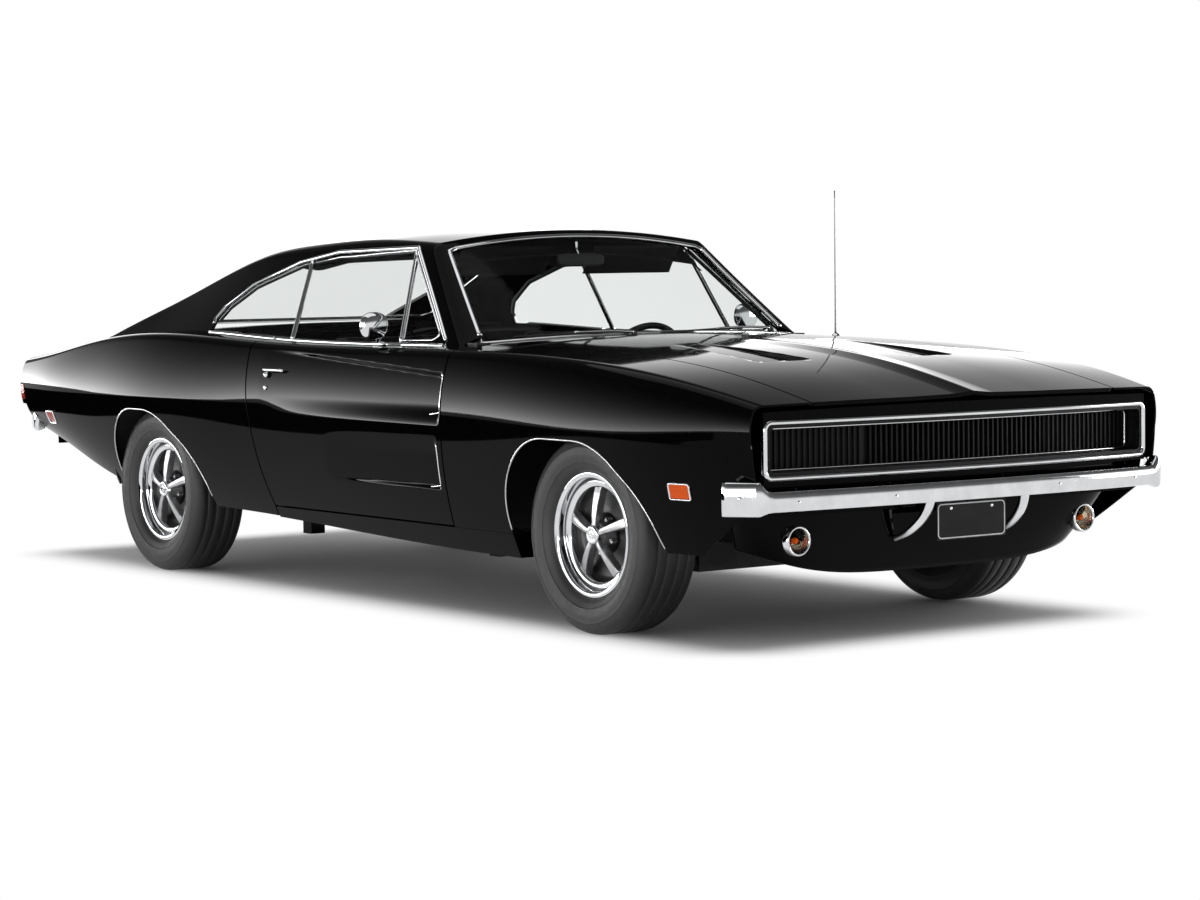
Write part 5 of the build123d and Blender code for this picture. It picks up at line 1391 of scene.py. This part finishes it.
MARKER_LENGTH, MARKER_HEIGHT = 0.090, 0.050
TAIL_LAMP = [(0.206, 0.684), (0.724, 0.684), (0.724, 0.792), (0.206, 0.792)]
PLATE_EDGE = [(-0.146, 0.336), (0.146, 0.336), (0.146, 0.4455), (-0.146, 0.4455)]


def front_details():
    """Grille frames, lamps with their frames, and the plate's border and bolts."""
    strip("grille_frame", mouth_line(0.832, 0.562, 0.736, 0.024, 0.010), 0.0085, 0.008, closed=True)
    strip("grille_outline", mouth_line(0.802, 0.584, 0.714, 0.020, 0.070), 0.0032, 0.003, BRIGHT,
          closed=True)
    for side, hand in SIDES:
        place(turn_lamp(side, hand), "body", "clear_lens", *(("turn_lamps",) if side > 0 else ()))
        marker_frame("front", side, hand, 2.245, 0.513, 0.0034, 0.006)
        marker_frame("rear", side, hand, -2.249, 0.600, 0.0024, 0.004)
        place(tail_reflector(side, hand), "body", "red_lens")
        lamp = np.array([(-2.596, side * y, z) for y, z in rounded(TAIL_LAMP, 0.026, close=True)])
        strip(f"tail_lamp_frame_{hand}", level(lamp, (-1.0, 0.0, 0.0)), 0.006, 0.006, closed=True)
    plate = np.array([(2.5922, y, z) for y, z in rounded(PLATE_EDGE, 0.014, step=0.003, close=True)])
    strip("plate_border", level(plate, (1.0, 0.0, 0.0)), 0.0022, 0.0012, PALE, slot="trim", closed=True)
    for side, hand in SIDES[::-1]:
        bolt = dome(f"plate_bolt_{hand}", (2.592, side * 0.09, 0.432), (1, 0, 0), 0.006, 0.003, CHROME)
        place(bolt, "body", "chrome")


# Door mirrors, handles and locks


def blob(name, centre, size, power, material, bend=None, segments=40, rings=20):
    """A rounded box: an ellipsoid squared off by power."""
    def squared(v):
        return math.copysign(abs(v) ** power, v)

    rows = []
    for i in range(rings + 1):
        a = -math.pi / 2 + math.pi * i / rings
        row = []
        for j in range(segments):
            b = 2 * math.pi * j / segments
            flat = squared(math.cos(a))
            p = (flat * squared(math.cos(b)), flat * squared(math.sin(b)), squared(math.sin(a)))
            p = Vector([v * extent / 2 for v, extent in zip(p, size)])
            row.append(tuple(Vector(centre) + (bend(p) if bend else p)))
        rows.append(row)
    return skinned(name, rows, material, caps=False, merge=1e-6)


def tube(name, points, radii, material, segments=20):
    """A round bar through points with a radius at each."""
    path = smooth_profile(points, 8)
    radii = np.interp(np.linspace(0, 1, len(path)), np.linspace(0, 1, len(radii)), radii)
    along = tangents(path)
    hint = np.array([0.0, 0.0, 1.0]) if abs(along[0][2]) < 0.9 else np.array([0.0, 1.0, 0.0])
    turns = np.linspace(0, 2 * math.pi, segments, endpoint=False)
    rows = []
    for p, d, r in zip(path, along, radii):
        a = unit(np.cross(d, hint))
        b = np.cross(d, a)
        rows.append([p + r * (math.cos(t) * a + math.sin(t) * b) for t in turns])
    return skinned(name, rows, material)


def door_fittings(side, hand):
    """The mirror, handle and lock on a door."""
    head = blob("mirror_head", (0.361, side * 0.872, 1.018), (0.056, 0.116, 0.100), 0.82, CHROME,
                lambda p: Vector((p.x * (1.0 if p.x > 0 else 0.45), p.y, p.z)))
    stalk = tube("mirror_stalk",
                 [(0.362, side * 0.862, 1.000), (0.350, side * 0.846, 0.972), (0.332, side * 0.832, 0.950)],
                 (0.010, 0.007, 0.011), CHROME)
    base = blob("mirror_base", (0.330, side * 0.828, 0.949), (0.070, 0.034, 0.020), 0.7, CHROME)
    skin = side_surface(side)
    uv = along_side([(-0.320, 0.842), (-0.192, 0.842), (-0.310, 0.826), (-0.316, 0.778)])
    p, n = on_surface(skin, uv, side)
    inset = np.array([0.014, 0, 0])
    grip_line = [p[0] + n[0] * 0.006, p[0] + n[0] * 0.020 + inset, (p[0] + p[1]) / 2 + n[0] * 0.022,
                 p[1] + n[1] * 0.019 - inset, p[1] + n[1] * 0.006]
    grip = tube("handle_grip", grip_line, (0.005, 0.0055, 0.006, 0.0055, 0.005), CHROME)
    button = dome("handle_button", p[2] + n[2] * 0.004, n[2], 0.012, 0.014, CHROME)
    lock = dome("door_lock", p[3] + n[3] * 0.001, n[3], 0.0105, 0.005, CHROME)
    return joined(f"door_fittings_dressed_{hand}", [head, stalk, base, grip, button, lock])


for side, hand in SIDES:
    place(door_fittings(side, hand), f"door_{hand}", "chrome", f"door_fittings_{hand}")
    # bright beads that paint the highlight on the front edges of the door hollows
    scallop_edge_highlights(side, hand)
front_details()
place(valance(), "body", "paint", "front_valance")
place(antenna(), "body", "chrome", "antenna")


# Cabin: seats, headliner and what shows through the glass


def pad(name, at, size, pitch, channels, material, crown=0.018):
    """A stuffed cushion of a width, length and thickness, with a crowned face and sewn channels along it.

    pitch turns the face from lying flat to standing up."""
    width, length, thick = size
    u = np.sin(np.linspace(-1, 1, 61) * math.pi / 2)
    v = np.sin(np.linspace(-1, 1, 45) * math.pi / 2)
    uu, vv = np.meshgrid(u, v, indexing="ij")
    edge = ((1 - np.abs(uu) ** 8) * (1 - np.abs(vv) ** 8)) ** 0.36
    dome_ = crown * (1 - uu**2) * (1 - vv**2)
    inner = step_smooth(np.abs(uu), 0.84, 0.76) * step_smooth(np.abs(vv), 0.86, 0.76)
    seams = np.zeros_like(uu)
    for k in range(channels + 1):
        seams = np.maximum(seams,
                           np.exp(-(((uu - (-0.78 + 1.56 * k / channels)) * width / 2 / 0.007) ** 2)))
    border = np.exp(-(((np.maximum(np.abs(uu) / 0.80, np.abs(vv) / 0.82) - 1) * 0.18 / 0.007) ** 2))
    sink = 0.010 * np.maximum(seams * inner, border)
    pull = 1 - 0.018 * (1 - uu**2), 1 - 0.018 * (1 - vv**2)
    top = np.stack([vv * length / 2 * pull[0], uu * width / 2 * pull[1],
                    thick / 2 * edge + dome_ - sink * edge], -1)
    bottom = np.stack([vv * length / 2 * pull[0], uu * width / 2 * pull[1], -thick / 2 * edge], -1)
    index = np.arange(uu.size).reshape(uu.shape)
    under = index + uu.size
    under[0], under[-1], under[:, 0], under[:, -1] = index[0], index[-1], index[:, 0], index[:, -1]
    faces = quads(index) + [face[::-1] for face in quads(under)]
    obj = cleaned(new_object(name, np.concatenate([top.reshape(-1, 3), bottom.reshape(-1, 3)]), faces,
                             material))
    obj.data.transform(Matrix.Translation(at) @ Matrix.Rotation(-math.radians(pitch), 4, "Y"))
    return obj


def seats():
    """Two front seats and the rear bench."""
    for side, hand in SIDES:
        y = side * 0.440
        cushion = pad(f"seat_cushion_{hand}", (0.215, y, 0.386), (0.490, 0.480, 0.130), 3, 6, VINYL)
        back = pad(f"seat_back_{hand}", (-0.098, y, 0.700), (0.490, 0.560, 0.100), 111.5, 6, VINYL)
        base = pad(f"seat_base_{hand}", (0.190, y, 0.316), (0.400, 0.400, 0.016), 0, 1, TRIM, crown=0.0)
        place(cushion, "body", "trim", *(("front_seats",) if side > 0 else ()))
        place(back, "body", "trim")
        place(base, "body", "plastic")
    cushion = pad("rear_cushion", (-0.700, 0, 0.440), (1.100, 0.360, 0.180), -6, 14, VINYL)
    back = pad("rear_seat_back", (-0.985, 0, 0.735), (1.100, 0.390, 0.105), 109.8, 14, VINYL)
    place(cushion, "body", "trim", "rear_seat")
    place(back, "body", "trim")


def headliner():
    """The lining under the roof, turned down along the side rails and at the windshield header."""
    rows_x = np.concatenate([np.linspace(-0.790, 0.330, 30), np.array([0.36, 0.385, 0.402, 0.412, 0.418])])
    rail_x, rail_z = zip(*sorted((x * MM, z * MM) for x, z in SIDE_OPENING[2:7]))
    rows = []
    for x in rows_x:
        c = ROOF(np.array([min(x, HEADER_X)]))[0]
        edge_y, edge_z, crown = c[1], c[2], c[3]
        half = edge_y - 0.020
        drop = 0.035 + 0.060 * float(step_smooth(np.array(x), 0.33, 0.42))
        y = np.linspace(-half, half, 33)
        z = crown - (crown - edge_z) * (y / edge_y) ** 2 - drop
        rail = min(float(np.interp(x, rail_x, rail_z)), edge_z) - 0.042 - (drop - 0.035)
        hang = float(step_smooth(np.array(x), -0.790, -0.430))
        z = np.where(np.abs(y) > half - 0.012, z + (rail - z) * hang, z)
        rows.append(np.stack([np.full_like(y, x), y, z], -1))
    obj = skinned("headliner", rows, LINING, ring=False)
    thick = obj.modifiers.new("thickness", "SOLIDIFY")
    thick.thickness = 0.004
    thick.offset = 1
    return obj


def cabin_trim():
    """The headliner, sun visors and mirror."""
    place(headliner(), "body", "trim")
    for side, hand in SIDES:
        visor = pad(f"sun_visor_{hand}", (0.372, side * 0.300, 1.248), (0.420, 0.130, 0.016), 55, 1, LINING,
                    crown=0.002)
        place(visor, "body", "trim")
    shell = blob("mirror_shell", (0.449, 0, 1.247), (0.018, 0.218, 0.050), 0.55, TRIM)
    stem = tube("mirror_stem", [(0.440, 0, 1.262), (0.425, 0, 1.288), (0.420, 0, 1.318)],
                (0.006, 0.005, 0.008), CHROME)
    place(joined("cabin_mirror_dressed", [shell, stem]), "body", "plastic", "cabin_mirror")


seats()
cabin_trim()


# What shows when the panels are open: door linings, hinge leaves, arms and inner frames


def strap(name, line, wide, half, thick, material):
    """A flat bar along a line, half to each side along the wide direction and twice thick through."""
    line = spaced(rounded(line, 0.012, step=0.004), 0.02)
    wide = np.asarray(wide, float)
    out = unit(np.cross(tangents(line), wide))
    soft = 0.0015
    ring = [(half - soft, thick), (half, thick - soft), (half, soft - thick), (half - soft, -thick),
            (soft - half, -thick), (-half, soft - thick), (-half, thick - soft), (soft - half, thick)]
    rows = [[p + wide * a + o * b for a, b in ring] for p, o in zip(line, out)]
    return skinned(name, rows, material, smooth=False)


def lining_relief(x, z):
    """How far the pleated field of a door lining stands proud of its plain border."""
    field = step_smooth(z, 0.395, 0.415) * step_smooth(z, 0.800, 0.780)
    field = field * step_smooth(x, 0.800, 0.780) * step_smooth(x, -0.345, -0.325)
    return field * (0.002 + 0.004 * np.abs(np.sin(math.pi * x / 0.055)))


def door_shell(side, hand):
    """The inside of a door: painted edges all round and a pleated lining."""
    rear_x = door_rear_x(0.003)
    low, front_x, inner_y = DOOR_BOTTOM_Z + 0.004, 0.845, 0.772

    def head_z(x):
        return top_height(x, 0.780) - 0.020

    rear = [(rear_x(z), z) for z in np.linspace(head_z(-0.47), low, 24)]
    foot = [(x, low) for x in np.linspace(rear[-1][0], front_x, 40)]
    front = [(front_x, z) for z in np.linspace(low, head_z(front_x), 24)]
    head = [(x, head_z(x)) for x in np.linspace(front_x, rear[0][0], 40)]
    loop = np.array(rear[:-1] + foot[:-1] + front[:-1] + head[:-1])
    gx, gz = np.meshgrid(np.arange(-0.48, 0.84, 0.011), np.arange(0.34, 0.93, 0.020), indexing="ij")
    uv, faces = triangulate(loop, [], np.stack([gx.ravel(), gz.ravel()], -1))

    def outer(q):
        x, z = q[:, 0], q[:, 1]
        return body_yz(x, s_at_z(x, z))[:, 0] - door_hollow(x, z) - 0.0075

    inside = np.stack([uv[:, 0], side * (inner_y - lining_relief(uv[:, 0], uv[:, 1])), uv[:, 1]], -1)
    outside = np.stack([uv[:, 0], side * outer(uv), uv[:, 1]], -1)
    lining = new_object("lining", inside, faces, VINYL)
    back = new_object("lining_back", outside, faces[:, ::-1], PAINT)
    n = len(loop)
    y = outer(loop)
    verts = [(x, side * (y[i] + (inner_y - y[i]) * t), z) for t in (0.0, 1.0) for i,
             (x, z) in enumerate(loop)]
    edge = new_object("lining_edge", verts, [(i, (i + 1) % n, n + (i + 1) % n, n + i) for i in range(n)],
                      PAINT)
    shell = cleaned(joined(f"door_shell_{hand}", [lining, back, edge]), 1e-5)
    shell.data.shade_smooth()
    shell.data.set_sharp_from_angle(angle=math.radians(40))
    return shell


def door_controls(side, hand):
    """The armrest, window crank and pull on a door lining."""
    rest = blob("armrest", (0.100, side * 0.752, 0.610), (0.310, 0.052, 0.060), 0.5, VINYL)
    boss = dome("crank_boss", (0.420, side * 0.768, 0.640), (0, -side, 0), 0.019, 0.014, CHROME)
    crank = tube("crank",
                 [(0.420, side * 0.756, 0.640), (0.402, side * 0.750, 0.608), (0.388, side * 0.748, 0.575)],
                 (0.007, 0.005, 0.006), CHROME)
    knob = dome("crank_knob", (0.388, side * 0.750, 0.575), (0, -side, 0), 0.011, 0.020, TRIM)
    pull = tube("pull",
                [(-0.060, side * 0.769, 0.742), (-0.052, side * 0.752, 0.743), (0.010, side * 0.748, 0.746),
                         (0.050, side * 0.747, 0.747)], (0.008, 0.0065, 0.006, 0.005), CHROME)
    return joined(f"door_controls_{hand}", [rest, boss, crank, knob, pull])


def hinge_leaves(side, hand):
    """The two cranked leaves from a door to its pins."""
    plan = [(0.987, 0.918), (0.944, 0.844), (0.897, 0.856), (0.842, 0.856)]
    pieces = []
    for low in (0.545, 0.690):
        middle, pin = low + 0.0135, (0.987, side * 0.918)
        pieces.append(strap("leaf", [(x, side * y, middle) for x, y in plan], (0, 0, 1), 0.0130, 0.0055,
                            PAINT))
        pieces.append(tube("barrel", [(*pin, low), (*pin, middle), (*pin, low + 0.027)],
                           (0.0105, 0.0105, 0.0105), STEEL))
    return joined(f"hinge_leaves_{hand}", pieces)


def arms(name, line):
    """A pair of cranked hinge arms under a panel, ending at its underside; line is in x and z."""
    pieces, at = [], 0.482
    end_x = line[-1][0]
    line = [*line[:-1], (end_x, top_height(end_x, at) - 0.016)]
    for side in (1, -1):
        pieces.append(strap("arm", [(x, side * at, z) for x, z in line], (0, 1, 0), 0.0115, 0.0060, PAINT))
        pin = [(line[0][0], side * at + d, line[0][1]) for d in (-0.0118, 0.0, 0.0118)]
        pieces.append(tube("arm_eye", pin, (0.0105, 0.0105, 0.0105), STEEL))
    return joined(name, pieces)


def no_depth(x, _):
    """A plain top panel has no pressings."""
    return np.zeros_like(x)


def inner_frame(name, depth, x_range, half, windows):
    """A pressed stiffening frame against the underside of a top panel, with openings in it."""
    def box(x0, x1, y0, y1, radius):
        return closed_line([(x0, y0), (x1, y0), (x1, y1), (x0, y1)], radius, 0.010, 0.02)

    holes = [box(x0, x1, *sorted((side * y0, side * y1)), 0.05)
             for x0, x1, y0, y1 in windows for side, _ in SIDES]
    lines = np.arange(x_range[0], x_range[1], 0.02), np.arange(-half, half, 0.02)
    under = top_surface(lambda x, y: depth(x, y) + 0.0142)
    return panel(name, under, box(*x_range, -half, half, 0.04), holes, lines, UNDER, 0.010)


def trunk_side(side, hand):
    """The ribbed lining at one side of the trunk, from the floor to below the lid."""
    def point(x, z):
        return np.stack([x, side * (0.566 - 0.003 * np.abs(np.sin(math.pi * x / 0.09))), z], -1)

    x = np.linspace(-2.510, -1.600, 50)
    top = np.stack([x, top_z(x, np.full_like(x, 0.56)) - 0.045], -1)
    loop = np.vstack([spaced([top[-1], (x[-1], 0.440), (x[0], 0.440), top[0]], 0.02)[:-1], top[:-1]])
    lines = np.arange(-2.50, -1.60, 0.015), np.arange(0.46, 0.86, 0.04)
    return panel(f"trunk_side_{hand}", point, loop, [], lines, CARPET, 0.006, side < 0, (3e-3, 3e-3))


CLEANER = [
    (0.0005, 0.072), (0.060, 0.0715), (0.150, 0.068), (0.174, 0.060), (0.178, 0.048), (0.178, 0.022),
    (0.165, 0.012), (0.090, 0.004), (0.0005, 0.0)]
CLEANER_STUD = [(0.0005, 0.086), (0.008, 0.084), (0.011, 0.078), (0.012, 0.068), (0.0005, 0.066)]


def engine_dressing():
    """A round air cleaner with its stud, and a rounded cover on each bank."""
    pieces = [lathed("cleaner", CLEANER, 3, CHROME, 96), lathed("stud", CLEANER_STUD, 3, STEEL, 32)]
    cleaner = joined("air_cleaner", pieces)
    cleaner.data.transform(Matrix.Translation((1.230, 0, 0.798)) @ Matrix.Rotation(math.pi / 2, 4, "X"))
    place(cleaner, "body", "chrome")
    for side, hand in SIDES:
        at, size = (1.280, side * 0.205, 0.786), (0.540, 0.118, 0.090)
        place(blob(f"rocker_cover_{hand}", at, size, 0.45, PAINT), "body", "paint")


def wiper(hand, y0, y1):
    """A wiper parked along the foot of the windshield: pivot, arm and blade."""
    way = math.copysign(1, y1 - y0)
    pivot = dome("pivot", (0.945, y0, 0.970), (0, 0, 1), 0.013, 0.020, TRIM)
    middle = (y0 + y1) / 2
    arm_line = [(0.945, y0, 0.984), (0.940, y0 + way * 0.10, 0.990), (0.930, middle, 0.989)]
    blade_line = [(0.936, y0 + way * 0.13, 0.984), (0.930, middle, 0.985), (0.923, y1, 0.978)]
    arm = tube("arm", arm_line, (0.0055, 0.0042, 0.0034), BRIGHT)
    blade = tube("blade", blade_line, (0.0030, 0.0044, 0.0028), SEAL)
    return joined(f"wiper_{hand}", [pivot, arm, blade])


for side, hand in SIDES:
    place(door_shell(side, hand), f"door_{hand}", "trim")
    place(door_controls(side, hand), f"door_{hand}", "chrome")
    place(hinge_leaves(side, hand), f"door_{hand}", "paint")
    place(trunk_side(side, hand), "body", "trim")
engine_dressing()
place(arms("hood_arms", [(1.000, 0.924), (1.035, 0.876), (1.084, 0.915), (1.100, 0.0)]), "hood", "paint")
place(arms("lid_arms", [(-1.510, 0.938), (-1.523, 0.891), (-1.583, 0.913), (-1.602, 0.0)]), "trunk_lid",
      "paint")
HOOD_WINDOWS = [(1.20, 1.72, 0.06, 0.44), (1.80, 2.40, 0.06, 0.52)]
LID_WINDOWS = [(-2.38, -1.72, 0.06, 0.42)]
place(inner_frame("hood_frame", hood_depth, (1.11, 2.50), 0.60, HOOD_WINDOWS), "hood", "paint")
place(inner_frame("lid_frame", no_depth, (-2.47, -1.62), 0.52, LID_WINDOWS), "trunk_lid", "paint")
place(wiper("right", -0.120, -0.640), "body", "trim", "wipers")
place(wiper("left", 0.520, 0.020), "body", "trim")


# Studio: pale floor, soft lamps and the camera

CAMERA_AT = Vector((9.96895, -6.90818, 1.24478))
CAMERA_YAW, CAMERA_PITCH, CAMERA_ROLL = 2.508355, -0.061027, -0.013114
FOCAL_PIXELS, IMAGE_WIDTH, SENSOR = 3101.68, 1200, 36.0
FLOOR_HALF, CONTACT_HALF, FADE_REACH = 60.0, (2.20, 0.66), 0.46
WORLD_LIGHT, SKY_STOPS = 0.80, [(0.0, 1.0), (0.10, 1.0), (0.24, 0.16), (1.0, 0.05)]


def camera():
    """The camera at the photo's place."""
    forward = Vector((math.cos(CAMERA_PITCH) * math.cos(CAMERA_YAW),
                      math.cos(CAMERA_PITCH) * math.sin(CAMERA_YAW),
                      math.sin(CAMERA_PITCH)))
    right = forward.cross(Vector((0, 0, 1))).normalized()
    up = right.cross(forward)
    turn_right = math.cos(CAMERA_ROLL) * right + math.sin(CAMERA_ROLL) * up
    turn_up = math.cos(CAMERA_ROLL) * up - math.sin(CAMERA_ROLL) * right
    data = bpy.data.cameras.new("camera")
    data.sensor_width = SENSOR
    data.sensor_fit = "HORIZONTAL"
    data.lens = SENSOR * FOCAL_PIXELS / IMAGE_WIDTH
    data.clip_end = 200
    obj = bpy.data.objects.new("camera", data)
    bpy.context.scene.collection.objects.link(obj)
    rotation = Matrix((turn_right, turn_up, -forward)).transposed()
    obj.matrix_world = Matrix.Translation(CAMERA_AT) @ rotation.to_4x4()
    bpy.context.scene.camera = obj


def soft_lamp(name, at, aim, size, radiance):
    """An oblong area lamp, aimed at a point."""
    data = bpy.data.lights.new(name, "AREA")
    data.shape = "RECTANGLE"
    data.size, data.size_y = size
    data.energy = radiance * size[0] * size[1] * math.pi
    obj = bpy.data.objects.new(name, data)
    bpy.context.scene.collection.objects.link(obj)
    obj.location = at
    obj.rotation_euler = (Vector(aim) - Vector(at)).to_track_quat("-Z", "Y").to_euler()


def sums(tree, operation, a, b=None):
    """A math node over numbers or sockets."""
    node = tree.nodes.new("ShaderNodeMath")
    node.operation = operation
    for socket, value in zip(node.inputs, (a, b)):
        if isinstance(value, (int, float)):
            socket.default_value = value
        elif value is not None:
            tree.links.new(value, socket)
    return node.outputs[0]


def ray(tree, *kinds):
    """1 for rays of any of the kinds named."""
    path = tree.nodes.new("ShaderNodeLightPath")
    out = path.outputs[kinds[0]]
    for kind in kinds[1:]:
        out = sums(tree, "MAXIMUM", out, path.outputs[kind])
    return out


def axes(tree, space="Object"):
    """The X, Y and Z outputs of the coordinates in a space."""
    coords, parts = tree.nodes.new("ShaderNodeTexCoord"), tree.nodes.new("ShaderNodeSeparateXYZ")
    tree.links.new(coords.outputs[space], parts.inputs[0])
    return parts.outputs


def mixed(tree, factor, first, second):
    """The second shader over the first by a factor."""
    mix = tree.nodes.new("ShaderNodeMixShader")
    for source, socket in zip((factor, first, second), mix.inputs):
        tree.links.new(source, socket)
    return mix.outputs[0]


def floor_material():
    """Pale matt floor that turns into the white backdrop a step away from the car."""
    material = surface("studio_floor", (0.60, 0.60, 0.60), (0.63, 0.63, 0.63), 0.6, (0.9, 0.95))
    tree = material.node_tree
    spot = axes(tree)
    reach = []
    for axis, half in zip("XY", CONTACT_HALF):
        beyond = sums(tree, "SUBTRACT", sums(tree, "ABSOLUTE", spot[axis]), half)
        reach.append(sums(tree, "POWER", sums(tree, "MAXIMUM", beyond, 0.0), 2.0))
    distance = sums(tree, "SQRT", sums(tree, "ADD", *reach))
    fade = tree.nodes.new("ShaderNodeMapRange")
    fade.interpolation_type = "SMOOTHERSTEP"
    fade.inputs["From Min"].default_value = 0.0
    fade.inputs["From Max"].default_value = FADE_REACH
    tree.links.new(distance, fade.inputs["Value"])
    seen = ray(tree, "Is Camera Ray", "Is Glossy Ray", "Is Transmission Ray")
    both = sums(tree, "MULTIPLY", fade.outputs["Result"], seen)
    white = tree.nodes.new("ShaderNodeEmission")
    white.inputs["Color"].default_value = (1, 1, 1, 1)
    shader = mixed(tree, both, tree.nodes["Principled BSDF"].outputs[0], white.outputs[0])
    tree.links.new(shader, tree.nodes["Material Output"].inputs["Surface"])
    return material


def reflector(name, start, stop, peak, radius=9.0, low=0.74, high=5.0, decay=0.77):
    """A curved wall beside the car that shows in gloss alone, brightest at its foot and fading upward."""
    count = 48
    angles = np.radians(np.linspace(start, stop, count))
    verts = [(radius * math.cos(a), radius * math.sin(a), z) for z in (low, high) for a in angles]
    faces = [(i, i + 1, count + i + 1, count + i) for i in range(count - 1)]
    material = bpy.data.materials.new(name)
    material.use_nodes = True
    tree = material.node_tree
    tree.nodes.clear()
    fall = sums(tree, "MULTIPLY", sums(tree, "SUBTRACT", axes(tree)["Z"], low), -1.0 / decay)
    light, output = tree.nodes.new("ShaderNodeEmission"), tree.nodes.new("ShaderNodeOutputMaterial")
    tree.links.new(sums(tree, "MULTIPLY", sums(tree, "EXPONENT", fall), peak), light.inputs["Strength"])
    tree.links.new(light.outputs[0], output.inputs["Surface"])
    wall = new_object(name, verts, faces, material)
    wall.visible_camera = wall.visible_diffuse = wall.visible_transmission = wall.visible_shadow = False


def studio():
    """The floor, the world, the lamp and the reflection cards."""
    corners = [(x * FLOOR_HALF, y * FLOOR_HALF, 0) for x, y in ((-1, -1), (1, -1), (1, 1), (-1, 1))]
    floor = new_object("floor", corners, [(0, 1, 2, 3)], floor_material(), smooth=False)
    world = bpy.data.worlds.new("studio")
    bpy.context.scene.world = world
    world.use_nodes = True
    tree = world.node_tree
    tree.nodes.clear()
    light, backdrop = tree.nodes.new("ShaderNodeBackground"), tree.nodes.new("ShaderNodeBackground")
    light.inputs["Color"].default_value = (1, 1, 1, 1)
    light.inputs["Strength"].default_value = WORLD_LIGHT
    tree.links.new(ramp(tree, axes(tree, "Generated")["Z"], SKY_STOPS), backdrop.inputs["Color"])
    white = tree.nodes.new("ShaderNodeBackground")
    white.inputs["Color"].default_value = (1, 1, 1, 1)
    shader = light.outputs[0]
    for over, rays in ((backdrop, ("Is Glossy Ray", "Is Transmission Ray")), (white, ("Is Camera Ray",))):
        shader = mixed(tree, ray(tree, *rays), shader, over.outputs[0])
    output = tree.nodes.new("ShaderNodeOutputWorld")
    tree.links.new(shader, output.inputs[0])
    soft_lamp("top_light", (0.3, -0.6, 5.2), (0.2, -0.2, 0), (7.5, 4.0), 1.1)
    reflector("right_reflector", 184, 318, 21.0)
    reflector("left_reflector", 42, 105, 21.0)
    reflector("back_reflector", 112, 174, 4.6, low=1.9, high=7.0, decay=1.5)
    reflector("side_flag", 184, 268, 0.0, radius=5.0, low=0.02, high=0.60)
    bpy.context.scene.view_settings.view_transform = "Standard"


camera()
studio()
